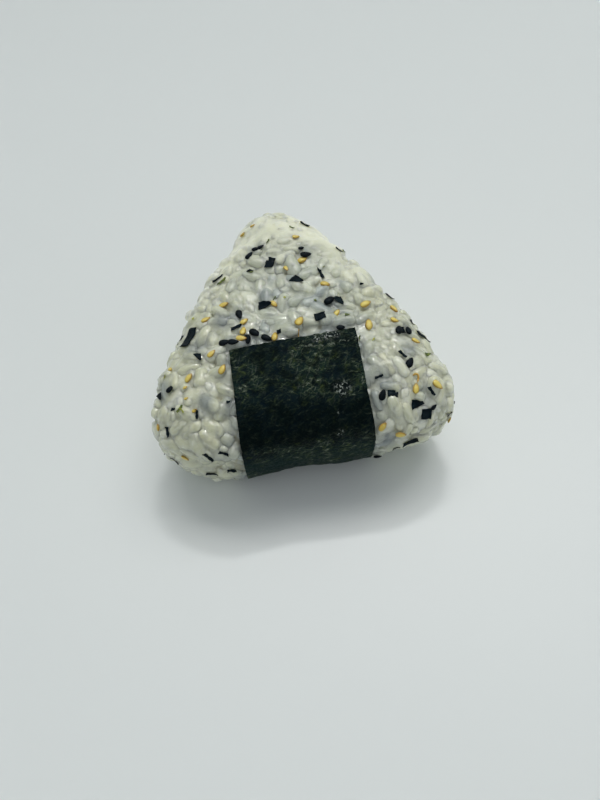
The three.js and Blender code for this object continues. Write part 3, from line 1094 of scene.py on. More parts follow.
def flake_shapes(prefix, size, steps):
    """Thin scraps, as sheets without thickness, with ragged edges, and a notch in the first."""
    shapes = []
    for index, corners in enumerate(FLAKE_CORNERS):
        first, second, third, fourth = (Vector(corner) for corner in corners)
        points = []
        for row in range(steps + 1):
            for column in range(steps + 1):
                across, up = column / steps, row / steps
                flat = first.lerp(second, across).lerp(fourth.lerp(third, across), up)
                place = Vector((flat.x * 4.2, flat.y * 4.2, index * 3.0 + 1.0))
                x, y = (FLAKE_RAGGEDNESS * noise.noise(place + shift) for shift in RAGGED_SHIFTS)
                points.append(((flat.x + x) * size, (flat.y + y) * size, 0.0))
        faces = []
        for row in range(steps):
            for column in range(steps):
                is_notch = index == 0 and column >= steps - 2 and row >= steps - 2
                if is_notch:
                    continue
                low = row * (steps + 1) + column
                faces.append((low, low + 1, low + steps + 2, low + steps + 1))
        item = add_object(f"{prefix}_shape_{index}", points, faces)
        curls = [max(0.0, abs(point[0] / size) - FLAKE_CURL_START) ** 2 for point in points]
        add_point_values(item, "curl", curls)
        shapes.append(item)
    return shapes


# ---- Packing the grains ----


class GrainPack:
    """Grains as rows of three balls, pushed apart on the skin until they hardly overlap."""

    TILT = 0.22  # how much the grains lean out of the skin, at first
    SIZE_SPREAD = 0.12
    LEVEL_SPREAD = 0.45
    LEVEL_LIMITS = (-1.6, 1.2)
    FIRST_DEPTH = 0.4
    PUSH_SHARE = 0.25  # of an overlap, for each ball in each round
    LONGEST_PUSH = 0.5
    END_PLAY = 1.1  # how far a grain's ends may sink below its level
    MIDDLE_DEPTH = 0.1
    MIDDLE_HOLD = 0.6  # share of the way that a grain's middle is brought back
    TABLE_FLATTENING = 0.96
    LOOSE_LIMIT = 0.3  # smoothest place, as a share, that holds a loose grain
    LOOSE_LOWEST = 5.0
    LOOSE_TURN = 0.9
    LOOSE_TILT = 0.25
    HIDDEN_DEPTH = 4.5  # how far inside the strip's outline a grain is left out

    def __init__(self, skin, settings, random):
        self.skin = skin
        self.random = random
        self.stand = settings.stand / MM
        self.radius = settings.width / MM / 2.0
        self.reach = (settings.length - settings.width) / MM / 2.0
        self.least = 2.0 * self.radius * settings.closeness
        self.place_first(settings.count)

    def place_first(self, count):
        """Random places and directions along the skin."""
        middles, normals = self.skin.scatter(count, self.random)
        across = self.random.normal(size=(count, 3))
        across -= np.einsum("ij,ij->i", across, normals)[:, None] * normals
        across = unit_rows(across)
        across += normals * self.random.normal(0.0, self.TILT, (count, 1))
        self.sizes = 1.0 + self.SIZE_SPREAD * np.clip(self.random.normal(size=count), -2.0, 2.0)
        self.levels = self.LEVEL_SPREAD * np.clip(self.random.normal(size=count), *self.LEVEL_LIMITS)
        self.tones = self.random.random(count)
        self.set_balls(middles - normals * self.FIRST_DEPTH, across)

    def set_balls(self, middles, axes):
        """Three balls for each grain, in a row along its axis."""
        axes = unit_rows(axes)
        steps = np.array([-1.0, 0.0, 1.0])[None, :, None]
        reach = (self.reach * self.sizes)[:, None, None]
        self.balls = middles[:, None, :] + axes[:, None, :] * steps * reach

    def middles_and_axes(self):
        """Where the grains are, and which way they point."""
        return self.balls.mean(axis=1), unit_rows(self.balls[:, 2] - self.balls[:, 0])

    def near_pairs(self):
        """Grains that are near enough to touch."""
        middles = self.balls[:, 1]
        apart = ((middles[:, None, :] - middles[None, :, :]) ** 2).sum(axis=2)
        limit = 2.0 * (self.reach * 1.3 + self.radius)
        return np.where(np.triu(apart < limit**2, 1))

    def push_apart(self, first, second):
        """One round of pushing between all balls of near grains."""
        force = np.zeros_like(self.balls)
        for one in range(3):
            for other in range(3):
                gap = self.balls[first, one] - self.balls[second, other]
                distance = np.linalg.norm(gap, axis=1) + 1e-9
                push = np.maximum(0.0, self.least - distance) * self.PUSH_SHARE
                step = gap / distance[:, None] * push[:, None]
                np.add.at(force, (first, one), step)
                np.add.at(force, (second, other), -step)
        length = np.linalg.norm(force, axis=2, keepdims=True) + 1e-9
        self.balls += force * np.minimum(1.0, self.LONGEST_PUSH / length)

    def hold_on_skin(self):
        """Brings the balls back to the skin, and lays those at the back on the table."""
        count = len(self.balls)
        flat = self.balls.reshape(-1, 3)
        height, normals = self.skin.heights(flat)
        radius = np.repeat(self.radius * self.sizes, 3)
        highest = self.stand + np.repeat(self.levels, 3) - radius
        move = np.clip(height, highest - self.END_PLAY, highest) - height
        hold = self.MIDDLE_HOLD
        middle_move = hold * (highest - self.MIDDLE_DEPTH - height) + (1.0 - hold) * move
        is_middle = np.tile([False, True, False], count)
        flat = flat + normals * np.where(is_middle, middle_move, move)[:, None]
        flat[:, 2] = np.maximum(flat[:, 2], radius * self.TABLE_FLATTENING)
        self.balls = flat.reshape(count, 3, 3)

    def settle(self, rounds):
        """Pushes and holds in turn."""
        for turn in range(rounds):
            if turn % 5 == 0:
                first, second = self.near_pairs()
            self.push_apart(first, second)
            self.hold_on_skin()
            self.set_balls(*self.middles_and_axes())

    def lift_some(self, share, height):
        """Turns and lifts some grains, so that they lie across the others, but not where it is smooth."""
        middles, axes = self.middles_and_axes()
        _, normals = self.skin.heights(middles)
        is_loose = pressed_share(middles, LEFT_PART_OF_SHAPE) < self.LOOSE_LIMIT
        is_drawn = self.random.random(len(middles)) < share
        chosen = is_loose & is_drawn & (middles[:, 2] > self.LOOSE_LOWEST)
        turned = axes + self.LOOSE_TURN * np.cross(normals, axes) * self.random.normal(size=(len(middles), 1))
        turned += self.LOOSE_TILT * normals * self.random.normal(size=(len(middles), 1))
        axes = np.where(chosen[:, None], turned, axes)
        rise = height * (0.5 + 0.5 * self.random.random(len(middles))) * chosen
        self.set_balls(middles + normals * rise[:, None], axes)

    def duck_under_strip(self):
        """Presses down the grains under the strip, and leaves out those that it hides."""
        flat = self.balls.reshape(-1, 3)
        height, normals = self.skin.heights(flat)
        radius = np.repeat(self.radius * self.sizes, 3)
        too_high = height + radius - strip_room(normals)
        push = np.maximum(0.0, too_high) * smooth_step(-2.4, -1.0, strip_depth(flat))
        push = push.reshape(-1, 3).max(axis=1)
        middle_normals = normals.reshape(-1, 3, 3)[:, 1]
        self.balls -= (middle_normals * push[:, None])[:, None, :]
        self.kept = strip_depth(self.balls[:, 1]) < self.HIDDEN_DEPTH


@lru_cache(maxsize=1)
def packed_grains():
    """All outer grains, packed once for both the grains and the starch between them."""
    scene = bpy.context.scene
    skin = Skin()
    skin.swell(CameraView(scene.rice_stage), scene.rice_grains.swell / MM)
    pack = GrainPack(skin, scene.rice_grains, np.random.default_rng(PACK_SEED))
    pack.settle(scene.rice_grains.rounds)
    pack.lift_some(scene.rice_grains.loose_share, scene.rice_grains.loose_height / MM)
    pack.duck_under_strip()
    return pack


def turn_to(along, side):
    """The turn that lays a shape's X along one direction and its Y along another."""
    return Matrix((along, side, along.cross(side))).transposed().to_quaternion()


# How the grains' forms vary, as shares of their size.
FORM_SPREAD = 0.06
FLATNESS = 0.94
FLATNESS_SPREAD = 0.05


def grain_spots():
    """Where each outer grain goes: its place, turn, stretch, variant and tone."""
    pack = packed_grains()
    random = np.random.default_rng(GRAIN_SEED)
    middles, axes = pack.middles_and_axes()
    _, normals = pack.skin.heights(middles)
    spots = []
    for index in np.where(pack.kept)[0]:
        normal = Vector(normals[index])
        along = Vector(axes[index])
        turn = turn_to(along, normal.cross(along).normalized())
        size = pack.sizes[index]
        plump = size * (1.0 + FORM_SPREAD * random.normal())
        long = size * (1.0 + FORM_SPREAD * random.normal())
        stretch = (long, plump, plump * (FLATNESS + FLATNESS_SPREAD * random.normal()))
        variant = int(random.integers(len(GRAIN_PROFILES)))
        spots.append((middles[index], turn, stretch, variant, float(pack.tones[index])))
    return spots


class GrainField:
    """The grains' common surface, softly filled in where they meet."""

    NEAREST = 10
    HIGHEST = 2.2
    LOWEST = -1.7
    STEP = 0.3
    NARROWING = 0.16  # of a grain towards its ends
    FAR = 6.0  # past this distance a grain has no weight

    def __init__(self, pack):
        self.starts = pack.balls[:, 0]
        self.rows = pack.balls[:, 2] - pack.balls[:, 0]
        self.radii = pack.radius * pack.sizes
        self.tones = pack.tones
        self.tree = point_tree(pack.balls[:, 1])

    def distance(self, places, near, fillet):
        """Each place's distance from the grains near it, and the tone of the nearest ones."""
        offset = places[:, None, :] - self.starts[near]
        rows = self.rows[near]
        share = np.clip((offset * rows).sum(axis=2) / (rows * rows).sum(axis=2), 0.0, 1.0)
        radius = self.radii[near] * (1.0 - self.NARROWING * (2.0 * share - 1.0) ** 2)
        apart = np.linalg.norm(offset - rows * share[:, :, None], axis=2) - radius
        weight = np.exp(-np.minimum(apart, self.FAR) / fillet[:, None])
        total = weight.sum(axis=1)
        return -fillet * np.log(total), (weight * self.tones[near]).sum(axis=1) / total

    def levels(self, places, normals, fillet):
        """How high over each place the grains reach along its normal, and their tone there."""
        near = np.array([[hit[1] for hit in self.tree.find_n(place, self.NEAREST)] for place in places])
        level = np.full(len(places), self.LOWEST)
        tone = np.full(len(places), 0.5)
        was_out = np.ones(len(places), dtype=bool)
        before = np.full(len(places), 1.0)
        for height in np.arange(self.HIGHEST, self.LOWEST, -self.STEP):
            apart, tones = self.distance(places + normals * height, near, fillet)
            meets = was_out & (apart <= 0.0)
            share = before[meets] / (before[meets] - apart[meets])
            level[meets] = height + self.STEP * (1.0 - np.clip(share, 0.0, 1.0))
            tone[meets] = tones[meets]
            was_out &= ~meets
            before = apart
        tone[was_out] = tones[was_out]
        return level, tone


# ---- Places of the seeds and flakes that face the camera ----

# Places where the grains are painted darker and greyer: a column, a row and a radius in millimetres.
GREY_PLACES = (
    (230.0, 324.0, 4.6), (199.0, 349.0, 3.6), (163.5, 392.5, 3.2), (382.0, 380.0, 3.8), (427.0, 394.0, 3.0),
    (370.0, 283.0, 3.0), (264.0, 297.0, 2.4), (233.0, 452.0, 4.6), (226.0, 464.0, 3.6), (331.0, 307.0, 3.2),
    (407.0, 349.0, 3.0), (206.0, 405.0, 3.6), (316.0, 338.0, 2.6), (245.0, 346.0, 2.6), (386.0, 440.0, 4.0),
)
# Each seed is a column and a row of the camera's view, the turn of its long side in degrees, and its size
# as a share of a common one. A flake also has the number of its shape.
WHITE_SEEDS = (
    (302.4, 260.5, 28, 1.0), (295.9, 237.1, 30, 0.8), (325.2, 284.3, -10, 0.95), (336.8, 313.6, 60, 0.8),
    (299.4, 321.7, 70, 1.2), (274.7, 336.9, 85, 0.95), (273.9, 304.4, -50, 0.85), (244.1, 321.7, 50, 0.85),
    (243.2, 331.2, 84, 0.95), (241.4, 338.8, -8, 1.0), (365.6, 304.4, 35, 1.1), (368.8, 324.4, 86, 1.15),
    (393.8, 309.2, -70, 0.95), (394.3, 320.6, 8, 0.9), (224.6, 306.0, 18, 0.95), (206.0, 320.1, 42, 0.95),
    (222.3, 369.4, 72, 1.0), (211.6, 353.9, 55, 0.9), (189.0, 378.0, 58, 0.95), (171.0, 370.0, -35, 0.6),
    (185.6, 457.8, -30, 0.8), (158.6, 427.4, 70, 0.7), (415.8, 341.3, -20, 0.85), (415.5, 388.8, 80, 0.95),
    (437.5, 385.0, -35, 1.1), (382.5, 426.3, 60, 0.95), (400.8, 433.8, -15, 1.0), (448.8, 419.5, 40, 0.6),
    (252.8, 226.3, 40, 0.6), (243.6, 235.5, 60, 0.7), (194.8, 410.8, 30, 0.5), (286.4, 270.7, -65, 0.7),
    (185.4, 387.9, 40, 0.45), (186.3, 398.6, 20, 0.4),
)
BLACK_SEEDS = (
    (305.9, 254.5, 24, 1.15), (249.3, 255.6, 62, 1.0), (255.4, 249.4, 10, 0.75), (261.0, 248.0, 30, 0.7),
    (329.2, 301.1, 50, 1.2), (239.2, 314.7, -72, 1.05), (255.0, 333.6, -38, 1.15), (266.7, 338.2, -20, 1.05),
    (224.6, 343.0, 8, 1.05), (233.2, 342.2, 6, 1.0), (340.8, 328.0, 0, 0.8), (398.7, 330.4, 70, 1.1),
    (408.3, 330.5, 80, 1.0), (171.2, 390.1, 60, 0.9), (409.5, 363.0, 62, 1.1), (382.5, 395.0, 75, 1.0),
    (433.8, 407.0, 40, 0.65), (377.5, 456.3, 10, 0.8), (247.6, 339.5, -80, 1.0), (301.0, 248.6, 20, 0.6),
)
DARK_FLAKES = (
    (269.8, 264.2, 84, 1.15, 0), (297.2, 279.6, -28, 1.2, 1), (320.9, 274.5, -75, 1.0, 2),
    (339.5, 301.1, -60, 1.0, 1), (320.0, 316.8, 10, 1.05, 3), (264.7, 306.0, 18, 1.2, 1),
    (250.6, 271.3, -20, 0.6, 1), (236.5, 327.7, 30, 0.95, 2), (361.2, 284.6, 0, 0.3, 1),
    (389.4, 297.3, -62, 0.9, 2), (304.3, 225.2, -32, 0.9, 2), (338.5, 250.1, -30, 0.7, 2),
    (189.8, 339.0, -84, 2.1, 4), (180.4, 338.4, -70, 0.6, 1), (198.8, 357.4, -55, 0.75, 1),
    (160.3, 397.6, -40, 0.75, 1), (173.9, 409.6, 10, 0.4, 1), (197.0, 414.8, -86, 0.7, 2),
    (167.8, 432.0, -64, 0.85, 2), (208.5, 457.2, -58, 1.0, 2), (223.5, 453.2, -14, 0.75, 2),
    (231.5, 469.9, 50, 0.8, 2), (212.0, 473.3, 28, 1.0, 2), (174.1, 461.3, -60, 0.8, 2),
    (218.0, 279.0, 40, 1.1, 2), (402.5, 354.5, -44, 0.8, 2), (392.5, 393.8, 0, 0.85, 0),
    (378.8, 377.0, 22, 0.7, 2), (416.3, 404.5, 12, 1.0, 1), (426.3, 413.8, -4, 1.05, 3),
    (431.3, 391.3, -60, 0.8, 2), (410.0, 441.3, 16, 1.3, 2), (396.0, 447.5, 28, 0.6, 2),
    (411.3, 323.3, -30, 0.6, 1), (422.5, 337.5, -52, 1.4, 2), (447.5, 413.8, -50, 0.6, 1),
    (401.3, 330.5, 20, 0.7, 3), (278.8, 332.0, 0, 0.4, 3), (228.6, 402.1, 30, 0.35, 1),
)
GREEN_BITS = (
    (291.8, 227.9, -40, 1.1, 2), (268.0, 242.0, 70, 1.0, 2), (274.5, 299.2, 60, 0.8, 2),
    (315.7, 300.9, -40, 0.7, 1), (347.1, 315.0, 15, 1.0, 1), (343.3, 251.8, -40, 0.8, 1),
    (373.2, 340.2, 60, 0.8, 2), (179.8, 409.0, 60, 1.6, 2), (182.4, 411.0, -50, 1.1, 2),
    (193.6, 318.9, 0, 0.5, 3), (178.7, 344.5, 0, 0.5, 3), (222.5, 282.5, 30, 2.1, 2),
    (427.5, 355.0, 30, 1.3, 1), (284.8, 297.6, 0, 0.6, 1), (323.3, 267.5, 50, 0.6, 2),
    (251.7, 272.4, 0, 0.7, 1), (359.6, 338.0, 80, 0.8, 2), (165.3, 377.5, 60, 0.7, 2),
)
# Each is a column and a row, a radius and a path of places across and up, in millimetres.
STRANDS = (
    (416.5, 377.0, 0.29,
     ((-0.95, 0.35), (-0.55, 0.85), (0.15, 0.75), (0.55, 0.1), (0.45, -0.8), (0.15, -1.6))),
    (298.6, 331.5, 0.15, ((0.1, 1.2), (0.0, 0.2), (-0.05, -1.3))),
)


class CameraView:
    """The camera, as a way to turn a place in its view into a ray."""

    WIDTH = 600.0
    HEIGHT = 800.0
    SENSOR = 36.0
    MIDDLE = (300.0, 370.0)
    STEP = 0.012
    LEAST_FACING = -0.32  # of skin that counts as seen, with a margin for what stands out of it

    def __init__(self, settings):
        turn = settings.camera_azimuth
        ahead = Vector((math.sin(turn), math.cos(turn), 0.0))
        right = Vector((math.cos(turn), -math.sin(turn), 0.0))
        middle = Vector((MIDDLE[0] * MM, MIDDLE[1] * MM, 0.0))
        foot = middle - ahead * settings.camera_distance - right * settings.camera_offset
        self.origin = foot + Vector((0.0, 0.0, settings.camera_height))
        pitch = settings.camera_pitch
        self.forward = ahead * math.cos(pitch) - Vector((0.0, 0.0, math.sin(pitch)))
        up = ahead * math.sin(pitch) + Vector((0.0, 0.0, math.cos(pitch)))
        roll = settings.camera_roll
        self.right = right * math.cos(roll) + up * math.sin(roll)
        self.up = up * math.cos(roll) - right * math.sin(roll)
        self.focal = settings.lens / self.SENSOR * self.HEIGHT

    def direction(self, column, row):
        """The way that a pixel looks."""
        across = (column - self.WIDTH / 2.0) / self.focal
        up = (self.HEIGHT / 2.0 - row) / self.focal
        return (self.forward + self.right * across + self.up * up).normalized()

    def nearer_middle(self, column, row):
        """A pixel moved a little towards the body's middle."""
        return column + self.STEP * (self.MIDDLE[0] - column), row + self.STEP * (self.MIDDLE[1] - row)

    def matrix(self):
        """The camera object's matrix."""
        turn = Matrix((self.right, self.up, -self.forward)).transposed().to_4x4()
        return Matrix.Translation(self.origin) @ turn

    def sees(self, place, normal):
        """True where the skin faces the camera, or turns away from it only a little."""
        facing = (self.origin - Vector(place) * MM).normalized().dot(Vector(normal))
        return facing > self.LEAST_FACING


class Surface:
    """The rice as it was made so far, which seeds and flakes are laid on."""

    START = 4.0  # height over the skin that a ray down starts at
    REACH = 9.0
    MISS = -1.0  # height where such a ray meets nothing

    def __init__(self, pieces, skin):
        self.skin = skin
        points = []
        faces = []
        for piece in pieces:
            start = len(points)
            points.extend(vertex.co / MM for vertex in piece.data.vertices)
            faces.extend([start + index for index in polygon.vertices] for polygon in piece.data.polygons)
        self.tree = BVHTree.FromPolygons(points, faces)

    def hit(self, origin, direction):
        """Where a ray meets the rice, and the skin's normal there."""
        place = self.tree.ray_cast(origin, direction)[0]
        if place is None:
            return None
        place = np.array(place)
        _, normals = self.skin.heights(place[None, :])
        return place, normals[0]

    def height(self, place, normal):
        """How high over a place the rice reaches, along a normal."""
        start = Vector(place) + Vector(normal) * self.START
        found = self.tree.ray_cast(start, -Vector(normal), self.REACH)[0]
        if found is None:
            return self.MISS
        return (found - Vector(place)).dot(Vector(normal))

    def rest_height(self, place, normal, turn, size, half_length, half_width):
        """How high over a place a seed comes to lie, on the grains under it."""
        steps = ((0.0, 0.0), (0.8, 0.0), (-0.8, 0.0), (0.0, 0.8), (0.0, -0.8))
        heights = []
        for along, across in steps:
            offset = turn @ Vector((along * half_length * size, across * half_width * size, 0.0))
            heights.append(self.height(Vector(place) + offset, normal))
        return sum(sorted(heights)[-3:]) / 3.0


# How seeds and scraps lie on the rice. Lengths are in millimetres.
SEED_LIFT = 0.16
SCRAP_LIFT = 0.12
CURL_HEIGHT = 5.0
DIP_SHARE = 0.5  # share of a dip under the skin that a scrap follows
SEEN_LEAN = 0.1  # how much a listed one leans along its length
STRIP_MARGIN = -1.5  # nearest place beside the strip, where no unlisted one lies
TABLE_FACING = -0.9  # skin that faces down more than this lies on the table and gets none
TRIES_FOR_EACH = 8
LOOK_HEIGHT = 6.0
UNSEEN_SIZE = 0.95
UNSEEN_SIZE_SPREAD = 0.15


def laid(place, normal, along, size, variant, tone, lean=0.0):
    """A spot for a seed or flake that lies on the rice, with its long side along a direction."""
    up = Vector(normal)
    long_side = (along - up * along.dot(up)).normalized()
    long_side = (long_side + up * lean).normalized()
    turn = turn_to(long_side, up.cross(long_side).normalized())
    return (place, turn, (size, size, size), variant, tone)


def seen_hit(view, surface, column, row, tries=5):
    """Where a pixel's ray meets the rice. One that misses moves towards the body's middle, a few times."""
    for _ in range(tries):
        found = surface.hit(view.origin / MM, view.direction(column, row))
        if found is not None:
            return found
        column, row = view.nearer_middle(column, row)
    return None


def seen_spots(view, surface, rows, random, variants):
    """Spots for the seeds or flakes listed for the side that faces the camera."""
    spots = []
    for column, row, turn, size, *shape in rows:
        found = seen_hit(view, surface, column, row)
        if found is None:
            continue
        angle = math.radians(turn)
        along = view.right * math.cos(angle) + view.up * math.sin(angle)
        variant = shape[0] if shape else int(random.integers(variants))
        tone = float(random.random())
        spots.append(laid(*found, along, size, variant, tone, random.normal(0.0, SEEN_LEAN)))
    return spots


def unseen_spots(view, surface, count, random, variants):
    """Evenly mixed spots for the sides that the camera doesn't see."""
    spots = []
    places, normals = surface.skin.scatter(count * TRIES_FOR_EACH, random)
    near_strip = strip_depth(places) > STRIP_MARGIN
    for place, normal, is_near_strip in zip(places, normals, near_strip):
        if len(spots) >= count:
            break
        if is_near_strip or view.sees(place, normal) or normal[2] < TABLE_FACING:
            continue
        found = surface.hit(Vector(place + normal * LOOK_HEIGHT), -Vector(normal))
        if found is None:
            continue
        along = Vector(random.normal(size=3))
        size = UNSEEN_SIZE + UNSEEN_SIZE_SPREAD * random.normal()
        variant = int(random.integers(variants))
        spots.append(laid(*found, along, size, variant, float(random.random())))
    return spots


def seeds_at_rest(surface, spots, half_length, half_width):
    """The same spots, moved along the skin's normal until each seed lies on the grains."""
    rested = []
    for place, turn, stretch, variant, tone in spots:
        normal = turn @ Vector((0.0, 0.0, 1.0))
        height = surface.rest_height(place, normal, turn, stretch[0], half_length, half_width)
        rested.append((place + np.array(normal) * (height + SEED_LIFT), turn, stretch, variant, tone))
    return rested


def drape(piece, surface, lift):
    """Lays thin scraps on the grains, not all the way down in dips, and lifts their curled ends."""
    places = points_of(piece)
    curls = np.zeros(len(places), dtype=np.float32)
    piece.data.attributes["curl"].data.foreach_get("value", curls)
    _, normals = surface.skin.heights(places)
    heights = np.array([surface.height(place, normal) for place, normal in zip(places, normals)])
    heights = np.maximum(heights, DIP_SHARE * heights)
    flat = heights[:, None]
    for _ in range(4):
        flat = np.maximum(evened(piece.data, flat, 5), heights[:, None])
    heights = evened(piece.data, flat, 2)[:, 0]
    rises = heights + lift + CURL_HEIGHT * curls
    move_points(piece, places + normals * rises[:, None])


def thicken(piece, thickness):
    """Gives a sheet its thickness, with its rim closed."""
    modifier = piece.modifiers.new("Thickness", "SOLIDIFY")
    modifier.thickness = thickness * MM
    modifier.offset = 0.0
    bake_modifiers(piece)


# ---- The seaweed strip ----


def strip_x(beside, y):
    """X of a place at some distance beside the strip's middle line."""
    return STRIP_MIDDLE_X + STRIP_SKEW * y + beside


def section_line(beside, samples=90):
    """The body cut by an upright plane beside the strip's middle line, from the face to under the back."""
    inside, outside = STRIP_TOP_Y, MIDDLE[1] - 2.0 * SIDES[0][0]
    for _ in range(50):
        middle = (inside + outside) / 2.0
        if outline_share(strip_x(beside, middle), middle) < 1.0:
            inside = middle
        else:
            outside = middle
    points = []
    for sample in range(-samples, samples + 1):
        is_face = sample < 0
        far = STRIP_TOP_Y + 1.5 if is_face else -STRIP_TOP_Y
        y = inside + (far - inside) * abs(sample / samples) ** 3
        x = strip_x(beside, y)
        points.append((x, y, float(skin_height(outline_share(x, y), y, is_face))))
    return np.array(points)


def resample(line, start_y, length, steps):
    """Points at equal distances along a line, from where it passes a given y, with their directions."""
    distance = np.concatenate([[0.0], np.cumsum(np.linalg.norm(np.diff(line, axis=0), axis=1))])
    first = int(np.argmax(line[:, 1] <= start_y))
    share = (start_y - line[first - 1, 1]) / (line[first, 1] - line[first - 1, 1])
    start = distance[first - 1] + share * (distance[first] - distance[first - 1])
    wanted = start + np.linspace(0.0, length, steps)
    points = np.stack([np.interp(wanted, distance, line[:, axis]) for axis in range(3)], axis=1)
    tangents = np.gradient(points, axis=0)
    return points, unit_rows(tangents)


def strip_wave(along, beside, wave):
    """How the sheet rises and dips: broad waves over the grains, fine crinkles, and a crease near its end."""
    broad = noise.noise(Vector((along * 0.19, beside * 0.19, 1.7)))
    middle = noise.noise(Vector((along * 0.42, beside * 0.42, 5.1)))
    fine = noise.noise(Vector((along * 1.5, beside * 1.1, 8.3)))
    crease_at = 1.3 + 0.035 * (beside + 17.0)
    crease = -0.16 * max(0.0, crease_at - along)
    ridge = 0.24 * math.exp(-(((along - crease_at - 1.2) / 0.45) ** 2))
    crease += ridge * max(0.0, min(1.0, (beside + 9.0) / 6.0))
    return wave * (1.1 * broad + 0.9 * middle + 0.22 * fine) + crease


# Places on the sheet with painted highlights and a glossier coat, along it, across it and their radius, in
# millimetres.
GLINTS = (
    (17.0, 10.9, 1.5), (1.2, 9.5, 1.1), (1.1, 12.0, 0.8),
    (1.5, 6.4, 0.9), (28.0, 8.6, 0.6), (23.0, 9.2, 0.4),
)
SIDE_RAGGEDNESS = 0.16


def glint_share(along, beside):
    """How strongly a place on the sheet gets its painted highlight and glossier coat, 0 to 1, from its place
    in metres.
    """
    shares = (
        math.exp(-((along / MM - at_along) ** 2 + (beside / MM - at_beside) ** 2) / radius**2)
        for at_along, at_beside, radius in GLINTS
    )
    return min(1.0, sum(shares))


def ragged_end(beside):
    """How far the strip's upper end stands out there."""
    broad = 0.22 * noise.noise(Vector((beside * 0.7, 0.0, 4.0)))
    return broad + 0.1 * noise.noise(Vector((beside * 2.6, 3.0, 4.0)))


def strip_columns(settings, columns=86, rows=200):
    """Column by column: the sheet's outer points, outward normals, and their place across and along it."""
    width = settings.width / MM
    length = settings.length / MM
    wave = settings.wave / MM
    grid = []
    for column in range(columns):
        beside = (column / (columns - 1) - 0.5) * width
        start_y = STRIP_TOP_Y + STRIP_SLANT * beside + ragged_end(beside)
        points, tangents = resample(section_line(beside), start_y, length, rows)
        normals = np.stack([np.zeros(rows), tangents[:, 2], -tangents[:, 1]], axis=1)
        along = np.linspace(0.0, length, rows)
        lift = strip_lift(normals) + np.array([strip_wave(step, beside, wave) for step in along])
        outer = points + normals * lift[:, None]
        flare = STRIP_FLARE * smooth_step(0.2, 1.0, 2.0 * beside / width)
        outer[:, 0] += flare * smooth_step(16.0, 34.0, along)
        is_edge = column in (0, columns - 1)
        if is_edge:
            ragged = [noise.noise(Vector((step * 0.8, beside, 2.0))) for step in along]
            outer[:, 0] += SIDE_RAGGEDNESS * np.array(ragged)
        outer[:, 2] = np.maximum(outer[:, 2], STRIP_FLOOR_GAP)
        grid.append((outer, normals, beside, along))
    return grid


def strip_mesh(settings):
    """The sheet as a thin closed leaf, with a UV map in metres along and across it."""
    grid = strip_columns(settings)
    rows = len(grid[0][0])
    thickness = settings.thickness / MM
    points = []
    sheet = []
    for outer, normals, beside, along in grid:
        for row in range(rows):
            points.append(outer[row])
            points.append(outer[row] - normals[row] * thickness)
            sheet.extend([(along[row] * MM, beside * MM)] * 2)
    return points, leaf_faces(len(grid), rows), sheet


def leaf_faces(columns, rows):
    """Faces of a closed leaf, whose points come in pairs: one outside, then the one under it."""
    beyond = 2 * rows  # from a point to the one in the next column
    faces = []
    for column in range(columns - 1):
        first = column * beyond
        for row in range(rows - 1):
            here = first + 2 * row
            corners = (here, here + 2, here + 2 + beyond, here + beyond)
            faces.append(corners)
            faces.append(tuple(corner + 1 for corner in reversed(corners)))
        for here, is_start in ((first, True), (first + beyond - 2, False)):
            rim = (here + 1, here, here + beyond, here + beyond + 1)
            faces.append(rim if is_start else tuple(reversed(rim)))
    for row in range(rows - 1):
        for first, is_left in ((0, True), ((columns - 1) * beyond, False)):
            here = first + 2 * row
            rim = (here, here + 1, here + 3, here + 2)
            faces.append(rim if is_left else tuple(reversed(rim)))
    return faces


# ---- Operators ----


def finish_piece(piece, node=None):
    """Puts a piece on its body, and hides the imported part that it stands for."""
    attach(piece, BODY)
    if node:
        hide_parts(node)


class RICE_OT_core(Operator):
    """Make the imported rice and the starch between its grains"""

    bl_idname = "rice.core"
    bl_label = "Packed Rice"
    SMOOTH_HEIGHT = 0.9  # of the starch over the skin, where it was pressed smooth

    def execute(self, context):
        settings = context.scene.rice_body
        points, faces = body_rings(around=200, rings=50)
        core = add_object("packed_rice", points, faces)
        even = core.modifiers.new("Even", "REMESH")
        even.mode = "VOXEL"
        even.voxel_size = settings.fineness
        bake_modifiers(core)
        self.follow_grains(core, settings)
        soften(core, 2)
        core.data.materials.append(rice_material("packed_rice", STARCH_SPREAD))
        finish_piece(core, RICE_NODE)
        return {"FINISHED"}

    def follow_grains(self, core, settings):
        """Moves every point to the starch's surface, which fills the grooves between the grains."""
        pack = packed_grains()
        places = points_of(core)
        height, normals = pack.skin.heights(places)
        places = places - normals * height[:, None]
        pressed = pressed_share(places, LEFT_PART_OF_SHAPE)
        fused = smooth_step(0.0, 0.45, soft_noise(places, 0.14, (5.0, 2.0, 8.0)))
        fillet = settings.fillet / MM * (1.0 + 0.9 * pressed + 0.3 * fused)
        level, tone = GrainField(pack).levels(places, normals, fillet)
        level = level - settings.sink / MM * (1.0 - pressed) * (1.0 - 0.6 * fused) + 0.1 * pressed
        level = level + 0.42 * pressed * (self.SMOOTH_HEIGHT - level)
        level = np.maximum(level, -settings.gap_depth / MM)
        level = level - strip_cover(places) * np.maximum(0.0, level - strip_room(normals))
        moved = places + normals * level[:, None]
        moved[:, 2] = np.maximum(moved[:, 2], BACK_GAP)
        move_points(core, moved)
        add_rice_values(core, places)
        add_point_values(core, "tone", tone)
        # How deep the starch lies in a gap, where its colour gets painted shade.
        add_point_values(core, "deep", smooth_step(-0.25, -1.2, level))
        # The starch's height is kept as the Z of inside, so that the painted light low on the grains also
        # falls low in its grooves.
        places[:, 2] = level + 0.5
        add_point_vectors(core, "inside", places)


